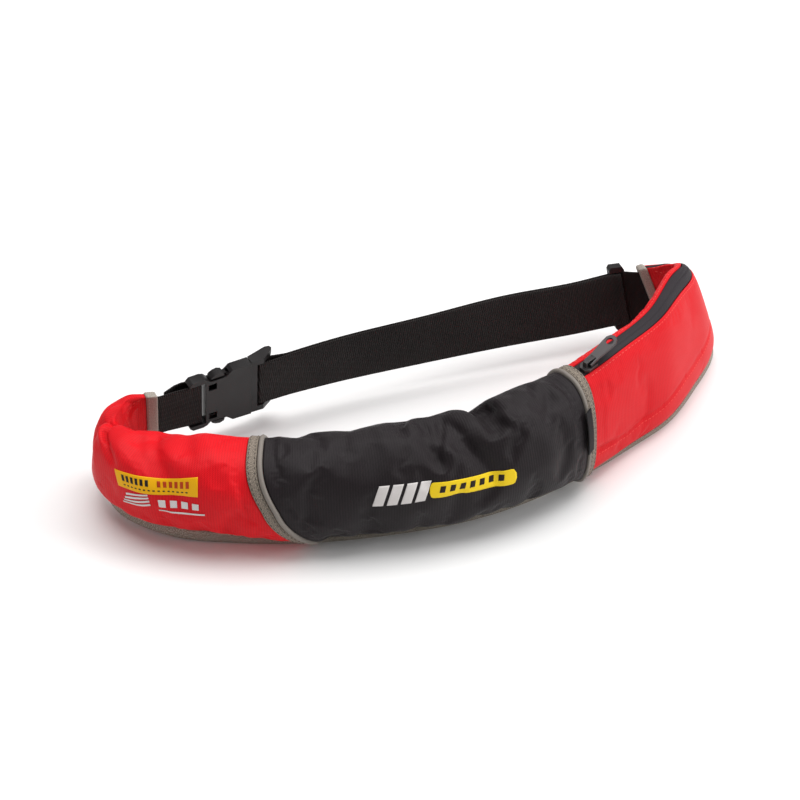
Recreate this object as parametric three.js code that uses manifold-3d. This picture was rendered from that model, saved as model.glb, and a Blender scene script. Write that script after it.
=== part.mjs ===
// Inflatable belt pack closed into a loop, standing on its lower edge.
// Millimetres, +Z up. +X runs along the long way of the loop, the packed front faces -Y.
// Soft parts are slices of one closed skin that follows the route of the belt.
import * as THREE from 'three';
import Module from 'manifold-3d';

const wasm = await Module();
wasm.setup();
const { Manifold, CrossSection } = wasm;

// Sizes of the loop and the pouch.
const LOOP_LENGTH = 445;
const LOOP_DEPTH = 148;
const POUCH_HEIGHT = 86;
const POUCH_THICKNESS = 52;
const FOLD_DEPTH = 4.5;
const CLOTH = 1.6;
const GAP = 0.3;

// Seams across the pouch, as distances along it from the left end.
const LEFT_SEAM_TOP = 174;
const LEFT_SEAM_SKEW = 37;
const RIGHT_SEAM_TOP = 394;
const RIGHT_SEAM_SKEW = -3;
const BAND_WIDTH = 6.5;
const BAND_PROUD = 0.9;
const PIPING_WIDTH = 3.2;
const PIPING_PROUD = 1.9;
const END_BAND_WIDTH = 7.5;
const FLANGE_THICKNESS = 3.6;

// Zipped pocket.
const TAPE_THICKNESS = 1.2;
const SLIDER_PLACE = 412;
const PULL_LENGTH = 25;
const PULL_WIDTH = 8.4;
const PULL_THICKNESS = 1.8;
const PULL_REST_ANGLE = 16;

// Webbing and buckle.
const WEBBING_WIDTH = 38;
const WEBBING_THICKNESS = 1.6;
const WEBBING_MIDDLE = 37.5;
const WEBBING_TUCK = 7;
const BUCKLE_LEFT = 22;
const BUCKLE_SPLIT = 66.6;
const BUCKLE_HALF_WIDTH = 24.3;
const GLIDE_PLACE = 351;
const GLIDE_HALF_LENGTH = 9;

const AROUND = 30;
const RAD = Math.PI / 180;

// Route of the lower edge, shares of LOOP_LENGTH and LOOP_DEPTH; the lean is mm sideways per mm of height.
const POUCH_ROUTE = [
  { along: -0.3483, across: 0.3514, leanAlong: 0.0, leanAcross: -0.26 },
  { along: -0.3935, across: 0.333, leanAlong: 0.02, leanAcross: -0.14 },
  { along: -0.424, across: 0.27, leanAlong: 0.03, leanAcross: -0.05 },
  { along: -0.4365, across: 0.1622, leanAlong: -0.06, leanAcross: 0.0 },
  { along: -0.4375, across: 0.022, leanAlong: -0.04, leanAcross: 0.0 },
  { along: -0.4205, across: -0.1, leanAlong: 0.0, leanAcross: 0.0 },
  { along: -0.372, across: -0.243, leanAlong: 0.0, leanAcross: 0.0 },
  { along: -0.299, across: -0.35, leanAlong: 0.0, leanAcross: 0.0 },
  { along: -0.2045, across: -0.454, leanAlong: 0.0, leanAcross: 0.0 },
  { along: -0.1011, across: -0.525, leanAlong: 0.0, leanAcross: 0.0 },
  { along: 0.0225, across: -0.565, leanAlong: 0.0, leanAcross: 0.0 },
  { along: 0.1258, across: -0.541, leanAlong: 0.0, leanAcross: 0.0 },
  { along: 0.2315, across: -0.46, leanAlong: -0.02, leanAcross: 0.03 },
  { along: 0.3258, across: -0.354, leanAlong: -0.05, leanAcross: 0.08 },
  { along: 0.4112, across: -0.238, leanAlong: -0.1, leanAcross: 0.12 },
  { along: 0.4899, across: -0.042, leanAlong: -0.19, leanAcross: 0.14 },
  { along: 0.5455, across: 0.1216, leanAlong: -0.3, leanAcross: 0.1 },
  { along: 0.56, across: 0.2432, leanAlong: -0.36, leanAcross: 0.08 },
  { along: 0.5325, across: 0.3243, leanAlong: -0.38, leanAcross: 0.1 },
];
const BELT_ROUTE = [
  { along: 0.5, across: 0.334, leanAlong: -0.36, leanAcross: 0.2 },
  { along: 0.427, across: 0.3412, leanAlong: -0.1, leanAcross: 0.26 },
  { along: 0.3371, across: 0.3547, leanAlong: 0.0, leanAcross: 0.2 },
  { along: 0.2202, across: 0.3784, leanAlong: 0.0, leanAcross: 0.17 },
  { along: 0.0899, across: 0.4054, leanAlong: 0.0, leanAcross: 0.03 },
  { along: -0.0449, across: 0.4189, leanAlong: 0.0, leanAcross: -0.06 },
  { along: -0.1573, across: 0.412, leanAlong: 0.0, leanAcross: -0.16 },
  { along: -0.236, across: 0.3885, leanAlong: 0.0, leanAcross: -0.2 },
  { along: -0.3146, across: 0.361, leanAlong: 0.0, leanAcross: -0.24 },
];

// Cross-sections of the pouch at shares of its length. Heights are shares of POUCH_HEIGHT, front and
// back bulge shares of POUCH_THICKNESS. low, up and flat set how round each part of a section is.
const SECTIONS = [
  { at: 0.0, base: 0.165, hem: 0.187, top: 0.685, front: 0.054, back: 0.054, low: 0.2, up: 0.2, flat: 0.2 },
  { at: 0.02, base: 0.16, hem: 0.185, top: 0.686, front: 0.056, back: 0.062, low: 0.25, up: 0.25, flat: 0.25 },
  { at: 0.045, base: 0.12, hem: 0.175, top: 0.675, front: 0.065, back: 0.17, low: 0.7, up: 0.6, flat: 0.6 },
  { at: 0.085, base: 0.06, hem: 0.15, top: 0.69, front: 0.06, back: 0.36, low: 1.1, up: 0.8, flat: 0.85 },
  { at: 0.13, base: 0.05, hem: 0.145, top: 0.735, front: 0.12, back: 0.54, low: 1.3, up: 0.8, flat: 0.85 },
  { at: 0.18, base: 0.035, hem: 0.13, top: 0.77, front: 0.22, back: 0.64, low: 1.3, up: 0.8, flat: 0.85 },
  { at: 0.24, base: 0.012, hem: 0.1, top: 0.795, front: 0.27, back: 0.69, low: 1.3, up: 0.8, flat: 0.85 },
  { at: 0.3, base: 0.0, hem: 0.06, top: 0.79, front: 0.29, back: 0.7, low: 1.25, up: 0.8, flat: 0.85 },
  { at: 0.36, base: 0.0, hem: 0.042, top: 0.83, front: 0.3, back: 0.7, low: 1.2, up: 0.8, flat: 0.85 },
  { at: 0.44, base: 0.0, hem: 0.036, top: 0.86, front: 0.31, back: 0.7, low: 1.2, up: 0.8, flat: 0.85 },
  { at: 0.52, base: 0.0, hem: 0.042, top: 0.885, front: 0.33, back: 0.69, low: 1.15, up: 0.8, flat: 0.85 },
  { at: 0.585, base: 0.0, hem: 0.05, top: 0.925, front: 0.34, back: 0.66, low: 1.1, up: 0.8, flat: 0.85 },
  { at: 0.622, base: 0.0, hem: 0.05, top: 0.92, front: 0.33, back: 0.62, low: 1.0, up: 0.8, flat: 0.85 },
  { at: 0.643, base: 0.0, hem: 0.042, top: 0.93, front: 0.24, back: 0.56, low: 0.9, up: 0.8, flat: 0.85 },
  { at: 0.68, base: 0.0, hem: 0.036, top: 0.955, front: 0.18, back: 0.47, low: 0.85, up: 0.75, flat: 0.8 },
  { at: 0.73, base: 0.0, hem: 0.036, top: 0.98, front: 0.14, back: 0.37, low: 0.8, up: 0.72, flat: 0.8 },
  { at: 0.8, base: 0.0, hem: 0.036, top: 1.0, front: 0.13, back: 0.33, low: 0.8, up: 0.72, flat: 0.8 },
  { at: 0.87, base: 0.0, hem: 0.036, top: 0.98, front: 0.14, back: 0.3, low: 0.8, up: 0.72, flat: 0.8 },
  { at: 0.92, base: 0.02, hem: 0.06, top: 0.92, front: 0.12, back: 0.22, low: 0.8, up: 0.7, flat: 0.75 },
  { at: 0.955, base: 0.07, hem: 0.12, top: 0.825, front: 0.09, back: 0.14, low: 0.6, up: 0.6, flat: 0.6 },
  { at: 0.98, base: 0.13, hem: 0.165, top: 0.735, front: 0.056, back: 0.07, low: 0.25, up: 0.25, flat: 0.25 },
  { at: 1.0, base: 0.165, hem: 0.187, top: 0.685, front: 0.054, back: 0.054, low: 0.2, up: 0.2, flat: 0.2 },
];

// Folds: a line on the skin from one place and turn to another. Places are shares of the pouch length,
// turns degrees up from the front. Reach is the half-width in mm, depth a share of FOLD_DEPTH; ridges are < 0.
const FOLDS = [
  { fromAt: 0.088, fromTurn: 100, toAt: 0.093, toTurn: 25, reach: 8, depth: 1.5 },
  { fromAt: 0.106, fromTurn: 84, toAt: 0.112, toTurn: 30, reach: 6, depth: -0.45 },
  { fromAt: 0.078, fromTurn: 130, toAt: 0.066, toTurn: 210, reach: 9, depth: 0.6 },
  { fromAt: 0.163, fromTurn: 88, toAt: 0.215, toTurn: 15, reach: 9, depth: 0.75 },
  { fromAt: 0.138, fromTurn: 80, toAt: 0.15, toTurn: 40, reach: 9, depth: -0.3 },
  { fromAt: 0.235, fromTurn: 92, toAt: 0.25, toTurn: 30, reach: 15, depth: -0.5 },
  { fromAt: 0.15, fromTurn: -15, toAt: 0.27, toTurn: -52, reach: 8, depth: 0.5 },
  { fromAt: 0.3, fromTurn: 95, toAt: 0.31, toTurn: 45, reach: 8, depth: 0.35 },
  { fromAt: 0.36, fromTurn: 80, toAt: 0.4, toTurn: 20, reach: 12, depth: 0.25 },
  { fromAt: 0.462, fromTurn: 82, toAt: 0.468, toTurn: 48, reach: 6, depth: 0.75 },
  { fromAt: 0.447, fromTurn: 95, toAt: 0.478, toTurn: 50, reach: 5, depth: -0.4 },
  { fromAt: 0.48, fromTurn: 90, toAt: 0.52, toTurn: 15, reach: 7, depth: 0.6 },
  { fromAt: 0.5, fromTurn: 100, toAt: 0.55, toTurn: 40, reach: 7, depth: -0.35 },
  { fromAt: 0.525, fromTurn: 125, toAt: 0.532, toTurn: 72, reach: 7, depth: 1.25 },
  { fromAt: 0.55, fromTurn: 100, toAt: 0.57, toTurn: 60, reach: 9, depth: -0.5 },
  { fromAt: 0.565, fromTurn: 78, toAt: 0.6, toTurn: 70, reach: 6, depth: 0.6 },
  { fromAt: 0.583, fromTurn: 50, toAt: 0.6, toTurn: 10, reach: 7, depth: 0.4 },
  { fromAt: 0.44, fromTurn: 200, toAt: 0.5, toTurn: 150, reach: 12, depth: 0.5 },
  { fromAt: 0.26, fromTurn: 150, toAt: 0.22, toTurn: 210, reach: 12, depth: 0.6 },
  { fromAt: 0.955, fromTurn: 88, toAt: 0.95, toTurn: 30, reach: 6, depth: 0.35 },
];

// Turns of the zip tape's front and back edges, at shares of the way along the pocket.
const TAPE_EDGES = [
  { at: 0.0, front: 74, back: 99 },
  { at: 0.25, front: 68, back: 98 },
  { at: 0.5, front: 60, back: 96 },
  { at: 0.75, front: 50, back: 92 },
  { at: 0.9, front: 50, back: 90 },
  { at: 1.0, front: 66, back: 96 },
];

// Catmull-Rom curve through the whole route, with its running length.
const ROUTE = [...POUCH_ROUTE, ...BELT_ROUTE];
const STEPS = 24;
const ROUTE_LINE = [];
for (let i = 0; i < ROUTE.length; i += 1) {
  const rows = [-1, 0, 1, 2].map((k) => ROUTE[(i + k + ROUTE.length) % ROUTE.length]);
  for (let j = 0; j < STEPS; j += 1) {
    const t = j / STEPS;
    const mix = (key) => {
      const [a, b, c, d] = rows.map((row) => row[key]);
      const curve = (2 * a - 5 * b + 4 * c - d) * t * t + (3 * b - a - 3 * c + d) * t * t * t;
      return 0.5 * (2 * b + (c - a) * t + curve);
    };
    ROUTE_LINE.push({
      x: mix('along') * LOOP_LENGTH,
      y: mix('across') * LOOP_DEPTH,
      leanX: mix('leanAlong'),
      leanY: mix('leanAcross'),
    });
  }
}
ROUTE_LINE.push(ROUTE_LINE[0]);
const RUN = [0];
for (let i = 1; i < ROUTE_LINE.length; i += 1) {
  const [a, b] = [ROUTE_LINE[i - 1], ROUTE_LINE[i]];
  RUN.push(RUN[i - 1] + Math.hypot(b.x - a.x, b.y - a.y));
}
const TOTAL = RUN[RUN.length - 1];
const POUCH_LENGTH = RUN[POUCH_ROUTE.length * STEPS];

function routeAt(distance) {
  const s = ((distance % TOTAL) + TOTAL) % TOTAL;
  let low = 0;
  let high = RUN.length - 1;
  while (high - low > 1) {
    const middle = (low + high) >> 1;
    if (RUN[middle] > s) high = middle;
    else low = middle;
  }
  const t = (s - RUN[low]) / (RUN[high] - RUN[low]);
  const [a, b] = [ROUTE_LINE[low], ROUTE_LINE[high]];
  return {
    x: a.x + (b.x - a.x) * t,
    y: a.y + (b.y - a.y) * t,
    leanX: a.leanX + (b.leanX - a.leanX) * t,
    leanY: a.leanY + (b.leanY - a.leanY) * t,
  };
}

// Point at a distance along the route, out from it, and up.
function place(distance, out, up) {
  const here = routeAt(distance);
  const before = routeAt(distance - 3);
  const after = routeAt(distance + 3);
  const length = Math.hypot(after.x - before.x, after.y - before.y);
  const nx = (after.y - before.y) / length;
  const ny = -(after.x - before.x) / length;
  return new THREE.Vector3(here.x + out * nx + up * here.leanX, here.y + out * ny + up * here.leanY, up);
}

// Smooth, never overshooting curve through one column of a table.
function column(rows, key) {
  const slope = rows.slice(1).map((row, i) => (row[key] - rows[i][key]) / (row.at - rows[i].at));
  const tangent = rows.map((_, i) => {
    if (i === 0) return slope[0];
    if (i === rows.length - 1) return slope[i - 1];
    const [a, b] = [slope[i - 1], slope[i]];
    return a * b <= 0 ? 0 : (2 * a * b) / (a + b);
  });
  return (at) => {
    const x = Math.min(Math.max(at, 0), 1);
    let i = 0;
    while (i < rows.length - 2 && rows[i + 1].at < x) i += 1;
    const width = rows[i + 1].at - rows[i].at;
    const t = (x - rows[i].at) / width;
    const start = (1 + 2 * t) * (1 - t) * (1 - t) * rows[i][key] + t * (1 - t) * (1 - t) * width * tangent[i];
    return start + t * t * (3 - 2 * t) * rows[i + 1][key] - t * t * (1 - t) * width * tangent[i + 1];
  };
}
const SHAPE = Object.fromEntries(
  ['base', 'hem', 'top', 'front', 'back', 'low', 'up', 'flat'].map((key) => [key, column(SECTIONS, key)]),
);

const TAPE = { front: column(TAPE_EDGES, 'front'), back: column(TAPE_EDGES, 'back') };

const ease = (t) => {
  const x = Math.min(Math.max(t, 0), 1);
  return x * x * (3 - 2 * x);
};
const lowShare = (turn) => (1 - Math.sin(turn * RAD)) / 2;

// Seam places, slanting from the crest down to the lower edge.
const leftSeam = (turn) => LEFT_SEAM_TOP + LEFT_SEAM_SKEW * lowShare(turn) ** 1.8;
const rightSeam = (turn) => RIGHT_SEAM_TOP + RIGHT_SEAM_SKEW * lowShare(turn);

// How far the folds push the skin in, fading out at the seams.
const TURN_ARC = 0.5;
function foldAt(distance, turn) {
  let sum = 0;
  const wrapped = turn < -90 ? turn + 360 : turn;
  for (const fold of FOLDS) {
    const x = distance - fold.fromAt * POUCH_LENGTH;
    const y = (wrapped - fold.fromTurn) * TURN_ARC;
    const dx = (fold.toAt - fold.fromAt) * POUCH_LENGTH;
    const dy = (fold.toTurn - fold.fromTurn) * TURN_ARC;
    const t = Math.min(Math.max((x * dx + y * dy) / (dx * dx + dy * dy), 0), 1);
    const away = Math.hypot(x - t * dx, y - t * dy) / fold.reach;
    sum += fold.depth * FOLD_DEPTH * Math.exp(-away * away);
  }
  const left = Math.abs(distance - leftSeam(turn) - BAND_WIDTH / 2) - BAND_WIDTH;
  const right = Math.abs(distance - rightSeam(turn) - BAND_WIDTH / 2) - BAND_WIDTH;
  const ends = Math.min(distance, POUCH_LENGTH - distance) - END_BAND_WIDTH;
  return sum * ease(left / 9) * ease(right / 9) * ease(ends / 16);
}

// The skin of the pouch: turn 0 faces out, 90 is the crest, 180 faces in, -90 is the lower edge.
function skin(distance, turn, grow) {
  const at = distance / POUCH_LENGTH;
  const front = SHAPE.front(at) * POUCH_THICKNESS;
  const back = SHAPE.back(at) * POUCH_THICKNESS;
  const hem = SHAPE.hem(at) * POUCH_HEIGHT;
  const top = SHAPE.top(at) * POUCH_HEIGHT;
  const push = grow - foldAt(distance, turn);
  const cos = Math.cos(turn * RAD);
  const sin = Math.sin(turn * RAD);
  const roundness = sin < 0 ? SHAPE.low(at) : SHAPE.up(at);
  const high = Math.sign(sin) * Math.abs(sin) ** SHAPE.flat(at);
  const shift = ((front - back) / 2) * (1 - lowShare(turn) ** 2);
  const out = shift + ((front + back) / 2 + push) * Math.sign(cos) * Math.abs(cos) ** roundness;
  return place(distance, out, (hem + top) / 2 + ((top - hem) / 2 + push) * high);
}

// Closed solid from points and triangles, turned right side out.
function solid(points, faces) {
  let volume = 0;
  for (const [a, b, c] of faces) {
    volume += points[a].dot(new THREE.Vector3().crossVectors(points[b], points[c]));
  }
  const index = volume < 0 ? faces.flatMap(([a, b, c]) => [a, c, b]) : faces.flat();
  const geometry = new THREE.BufferGeometry();
  const flat = points.flatMap((point) => [point.x, point.y, point.z]);
  geometry.setAttribute('position', new THREE.Float32BufferAttribute(flat, 3));
  geometry.setIndex(index);
  return geometry;
}

const quad = (a, b, c, d) => [[a, b, c], [a, c, d]];

// Sleeve of cloth right round the pouch between two seams.
function sleeve(start, end, columns, outer, inner) {
  const points = [];
  const faces = [];
  for (const grow of [outer, inner]) {
    for (let i = 0; i <= columns; i += 1) {
      for (let j = 0; j < AROUND; j += 1) {
        const turn = -90 + (360 * j) / AROUND;
        const distance = start(turn) + ((end(turn) - start(turn)) * i) / columns;
        points.push(skin(distance, turn, grow(turn)));
      }
    }
  }
  const layer = (columns + 1) * AROUND;
  const id = (side, i, j) => side * layer + i * AROUND + (j % AROUND);
  for (let j = 0; j < AROUND; j += 1) {
    for (let i = 0; i < columns; i += 1) {
      faces.push(...quad(id(0, i, j), id(0, i + 1, j), id(0, i + 1, j + 1), id(0, i, j + 1)));
      faces.push(...quad(id(1, i, j), id(1, i, j + 1), id(1, i + 1, j + 1), id(1, i + 1, j)));
    }
    faces.push(...quad(id(0, 0, j), id(0, 0, j + 1), id(1, 0, j + 1), id(1, 0, j)));
    faces.push(...quad(id(0, columns, j), id(1, columns, j), id(1, columns, j + 1), id(0, columns, j + 1)));
  }
  return solid(points, faces);
}

// Slab of cloth on a grid: pointAt(column share, row share, side) with side 0 outside, 1 inside.
function slab(columns, rows, pointAt) {
  const points = [];
  const faces = [];
  for (let side = 0; side < 2; side += 1) {
    for (let i = 0; i <= columns; i += 1) {
      for (let j = 0; j <= rows; j += 1) points.push(pointAt(i / columns, j / rows, side));
    }
  }
  const layer = (columns + 1) * (rows + 1);
  const id = (side, i, j) => side * layer + i * (rows + 1) + j;
  for (let i = 0; i < columns; i += 1) {
    for (let j = 0; j < rows; j += 1) {
      faces.push(...quad(id(0, i, j), id(0, i + 1, j), id(0, i + 1, j + 1), id(0, i, j + 1)));
      faces.push(...quad(id(1, i, j), id(1, i, j + 1), id(1, i + 1, j + 1), id(1, i + 1, j)));
    }
    faces.push(...quad(id(0, i, 0), id(1, i, 0), id(1, i + 1, 0), id(0, i + 1, 0)));
    faces.push(...quad(id(0, i, rows), id(0, i + 1, rows), id(1, i + 1, rows), id(1, i, rows)));
  }
  for (let j = 0; j < rows; j += 1) {
    faces.push(...quad(id(0, 0, j), id(0, 0, j + 1), id(1, 0, j + 1), id(1, 0, j)));
    faces.push(...quad(id(0, columns, j), id(1, columns, j), id(1, columns, j + 1), id(0, columns, j + 1)));
  }
  return solid(points, faces);
}

// Part of the skin between two seams and two turns.
function panel(start, end, columns, turns, rows, outer, inner) {
  return slab(columns, rows, (i, j, side) => {
    const [from, to] = turns(i);
    const turn = from + (to - from) * j;
    const distance = start(turn) + (end(turn) - start(turn)) * i;
    return skin(distance, turn, side ? inner : outer);
  });
}

// Woven band: a path of [distance before the left end, out] pairs, one thickness, standing upright.
function webbing(path) {
  const points = [];
  const faces = [];
  const half = WEBBING_THICKNESS / 2;
  path.forEach(([b, n], i) => {
    const before = path[Math.max(i - 1, 0)];
    const after = path[Math.min(i + 1, path.length - 1)];
    const unit = ([x0, y0], [x1, y1]) => {
      const length = Math.hypot(x1 - x0, y1 - y0) || 1;
      return [(x1 - x0) / length, (y1 - y0) / length];
    };
    const [ax, ay] = i > 0 ? unit(before, [b, n]) : unit([b, n], after);
    const [bx, by] = i < path.length - 1 ? unit([b, n], after) : [ax, ay];
    const spread = half / Math.max(1 + ax * bx + ay * by, 0.4);
    for (const [side, up] of [[1, 1], [1, -1], [-1, -1], [-1, 1]]) {
      const away = b - side * spread * (ay + by);
      const out = n + side * spread * (ax + bx);
      points.push(place(TOTAL - away, out, WEBBING_MIDDLE + (up * WEBBING_WIDTH) / 2));
    }
  });
  for (let i = 0; i < path.length - 1; i += 1) {
    for (let k = 0; k < 4; k += 1) {
      const next = (k + 1) % 4;
      faces.push(...quad(4 * i + k, 4 * i + next, 4 * i + 4 + next, 4 * i + 4 + k));
    }
  }
  const last = 4 * (path.length - 1);
  faces.push(...quad(3, 2, 1, 0), ...quad(last, last + 1, last + 2, last + 3));
  return solid(points, faces);
}

// Points spaced evenly between two ends of a straight run of webbing.
function run([b0, n0], [b1, n1], count) {
  const list = [];
  for (let i = 0; i <= count; i += 1) list.push([b0 + ((b1 - b0) * i) / count, n0 + ((n1 - n0) * i) / count]);
  return list;
}

// Half turn round a bar, from one face of it to the other.
function around(centre, halfLength, halfThickness, side, from, count) {
  const reach = WEBBING_THICKNESS / 2 + GAP;
  const list = [];
  for (let i = 0; i <= count; i += 1) {
    const angle = (Math.PI * i) / count;
    const away = Math.sin(angle) ** 0.7 * reach;
    const out = Math.sign(Math.cos(angle)) * Math.abs(Math.cos(angle)) ** 0.7;
    list.push([centre[0] + side * (halfLength + away), centre[1] + from * out * (halfThickness + reach)]);
  }
  return list;
}

// Hard parts are drawn as [distance before the left end, height from mid webbing, out] and laid on the route.
function onRoute(shape) {
  const mesh = shape.getMesh();
  const points = [];
  for (let i = 0; i < mesh.numVert; i += 1) {
    const at = i * mesh.numProp;
    const [b, h, n] = mesh.vertProperties.slice(at, at + 3);
    points.push(place(TOTAL - b, n, WEBBING_MIDDLE + h));
  }
  return solid(points, trianglesOf(mesh));
}

function trianglesOf(mesh) {
  const faces = [];
  for (let i = 0; i < mesh.numTri; i += 1) faces.push([...mesh.triVerts.slice(3 * i, 3 * i + 3)]);
  return faces;
}

const box = (b0, b1, h0, h1, n0, n1) => {
  return Manifold.cube([b1 - b0, h1 - h0, n1 - n0]).translate([b0, h0, n0]);
};

// Outline in length and height, thick from n0 to n1.
function plate(outline, n0, n1) {
  return Manifold.extrude(new CrossSection([outline], 'Positive'), n1 - n0).translate([0, 0, n0]);
}

// Outline in length and thickness, tall from h0 to h1.
function rail(outline, h0, h1) {
  const shape = Manifold.extrude(new CrossSection([outline], 'Positive'), h1 - h0);
  return shape.rotate([90, 0, 0]).translate([0, h1, 0]);
}

const mirrored = (rows) => [...rows.map(([b, h]) => [b, -h]), ...[...rows].reverse()];
const joined = (...shapes) => Manifold.union(shapes);

// Buckle socket: flat back, side windows for the release buttons, a bar for the webbing.
const SLOT_HALF = WEBBING_WIDTH / 2 + 0.8;
const BAR_LEFT = BUCKLE_LEFT + 3;
const BAR_RIGHT = BAR_LEFT + 5;
const BAR_OUT = 1;
const BAR_HALF = 2;
function buckleSocket() {
  const b = BUCKLE_LEFT;
  const outline = mirrored([
    [b, BUCKLE_HALF_WIDTH - 3.2],
    [b + 2.2, BUCKLE_HALF_WIDTH - 0.6],
    [b + 9.5, BUCKLE_HALF_WIDTH - 0.6],
    [b + 12.5, BUCKLE_HALF_WIDTH - 1.8],
    [b + 15, BUCKLE_HALF_WIDTH - 4.6],
    [b + 26, BUCKLE_HALF_WIDTH - 4.6],
    [b + 28.5, BUCKLE_HALF_WIDTH - 2.5],
    [b + 31, BUCKLE_HALF_WIDTH],
    [BUCKLE_SPLIT, BUCKLE_HALF_WIDTH],
  ]);
  const body = plate(outline, -4.2, 4.4);
  const cut = joined(
    box(b - 5, b + 11.6, -SLOT_HALF, SLOT_HALF, -9, 9),
    box(b + 14.5, BUCKLE_SPLIT + 5, -22.3, 22.3, -2.4, 2.6),
    box(b + 13.8, b + 19.5, 11.3, 17, -9, -1),
    box(b + 13.8, b + 19.5, -17, -11.3, -9, -1),
  );
  const bar = rail([
    [BAR_LEFT, BAR_OUT - 1.1], [BAR_LEFT + 1.1, BAR_OUT - BAR_HALF], [BAR_RIGHT - 1.1, BAR_OUT - BAR_HALF],
    [BAR_RIGHT, BAR_OUT - 1.1], [BAR_RIGHT, BAR_OUT + 1.1], [BAR_RIGHT - 1.1, BAR_OUT + BAR_HALF],
    [BAR_LEFT + 1.1, BAR_OUT + BAR_HALF], [BAR_LEFT, BAR_OUT + 1.1],
  ], -SLOT_HALF - 1, SLOT_HALF + 1);
  return onRoute(joined(body.subtract(cut), bar));
}

// Buckle plug: two prongs with buttons, a middle tongue, and a ladder frame for the webbing.
const PLUG_LEFT = BUCKLE_SPLIT + 0.5;
const LADDER = [PLUG_LEFT + 7.4, PLUG_LEFT + 10.8];
const LADDER_OUT = 1;
const LADDER_HALF = 1.5;
function bucklePlug() {
  const b = BUCKLE_LEFT;
  const prong = (side) => {
    const flip = ([x, y]) => [x, side * y];
    const head = [[b + 15, 14.5], [b + 24, 14.5], [b + 27.4, 15.5], [b + 27.4, 21.8], [b + 22, 23.6],
      [b + 18, 22.6], [b + 15, 19]].map(flip);
    const pad = [[b + 15.6, 21.1], [b + 25.4, 21.1], [b + 25, 23.2], [b + 22, 24.6], [b + 19, 24],
      [b + 16.6, 22.6]].map(flip);
    const turned = (rows) => (side > 0 ? rows : [...rows].reverse());
    return joined(
      plate(turned(head), -2, 2.2),
      plate(turned(pad), -3.4, 3.6),
      box(b + 24, PLUG_LEFT + 1, side > 0 ? 15.5 : -19.5, side > 0 ? 19.5 : -15.5, -2, 2.2),
    );
  };
  const side = [
    [PLUG_LEFT, -3], [PLUG_LEFT + 9, -3], [PLUG_LEFT + 12, -0.5], [PLUG_LEFT + 16.5, 3.2],
    [PLUG_LEFT + 18, 6], [PLUG_LEFT + 17, 8.4], [PLUG_LEFT + 14, 9], [PLUG_LEFT + 8, 7], [PLUG_LEFT, 4.4],
  ];
  const shape = joined(
    prong(1),
    prong(-1),
    box(b + 30, PLUG_LEFT + 1, -3.5, 3.5, -2, 2.2),
    box(PLUG_LEFT, PLUG_LEFT + 4.4, -SLOT_HALF - 1, SLOT_HALF + 1, -3, 4.4),
    rail(side, SLOT_HALF, BUCKLE_HALF_WIDTH),
    rail(side, -BUCKLE_HALF_WIDTH, -SLOT_HALF),
    box(LADDER[0], LADDER[1], -SLOT_HALF - 1, SLOT_HALF + 1, LADDER_OUT - LADDER_HALF, LADDER_OUT + LADDER_HALF),
    box(PLUG_LEFT + 13.2, PLUG_LEFT + 17, -SLOT_HALF - 1, SLOT_HALF + 1, 5, 8),
  );
  return onRoute(shape);
}

// Strap adjuster: two side bars outside the belt and a lower middle bar the loose end is sewn round.
function triGlide() {
  const [g, half] = [GLIDE_PLACE, GLIDE_HALF_LENGTH];
  const outline = mirrored([
    [g - half, BUCKLE_HALF_WIDTH - 2.6], [g - half + 2, BUCKLE_HALF_WIDTH - 0.6],
    [g + half - 2, BUCKLE_HALF_WIDTH - 0.6], [g + half, BUCKLE_HALF_WIDTH - 2.6],
  ]);
  const frame = plate(outline, -0.8, 4.6).subtract(joined(
    box(g - 20, g + 20, -SLOT_HALF + 0.2, SLOT_HALF - 0.2, -9, 2.2),
    box(g - half + 2.8, g + half - 2.8, -SLOT_HALF + 0.2, SLOT_HALF - 0.2, -9, 9),
  ));
  return onRoute(joined(frame, box(g - 1.2, g + 1.2, -SLOT_HALF - 1, SLOT_HALF + 1, -0.8, 1.2)));
}

// Left strap: out of the pouch, over the socket bar and back outside as a second layer.
function leftStrap() {
  const centre = [(BAR_LEFT + BAR_RIGHT) / 2, BAR_OUT];
  const half = (BAR_RIGHT - BAR_LEFT) / 2 - 0.8;
  return webbing([
    ...run([-WEBBING_TUCK, 0], [0, 0], 2),
    [8, -0.3],
    [16, -1.2],
    [22, -1.9],
    ...around(centre, half + 0.8, BAR_HALF, 1, -1, 8),
    [25, 5.0],
    [20, 5.9],
    [15, 5.4],
    [10, 3.6],
    [6.5, 2.3],
  ]);
}

// Belt webbing: out of the right end of the pouch, through the adjuster, round the plug and back to it.
function beltStrap() {
  const rightEnd = TOTAL - POUCH_LENGTH;
  const g = GLIDE_PLACE;
  const plugCentre = [(LADDER[0] + LADDER[1]) / 2, LADDER_OUT];
  const plugEnd = PLUG_LEFT + 27;
  return webbing([
    ...run([rightEnd + WEBBING_TUCK, 0], [rightEnd, 0], 2),
    [rightEnd - 8, 0.3],
    [g + 12, 1.0],
    [g + 5.4, 1.0],
    [g + 2.6, 4.3],
    [g - 1.4, 4.3],
    [g - 5.2, 1.0],
    ...run([g - 12, 1.0], [plugEnd, 1.0], 20),
    [PLUG_LEFT + 17, 3.3],
    [LADDER[1] + 0.8, 3.6],
    ...around(plugCentre, (LADDER[1] - LADDER[0]) / 2, LADDER_HALF, -1, 1, 8),
    [PLUG_LEFT + 17, -1.5],
    ...run([plugEnd, -1.0], [g - 12, -1.0], 20),
    [g - 5, -1.0],
    [g - 2, -1.9],
    ...around([g, 0.2], 1.2, 1, 1, -1, 8),
    [g - 0.6, 2.3],
  ]);
}

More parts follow.
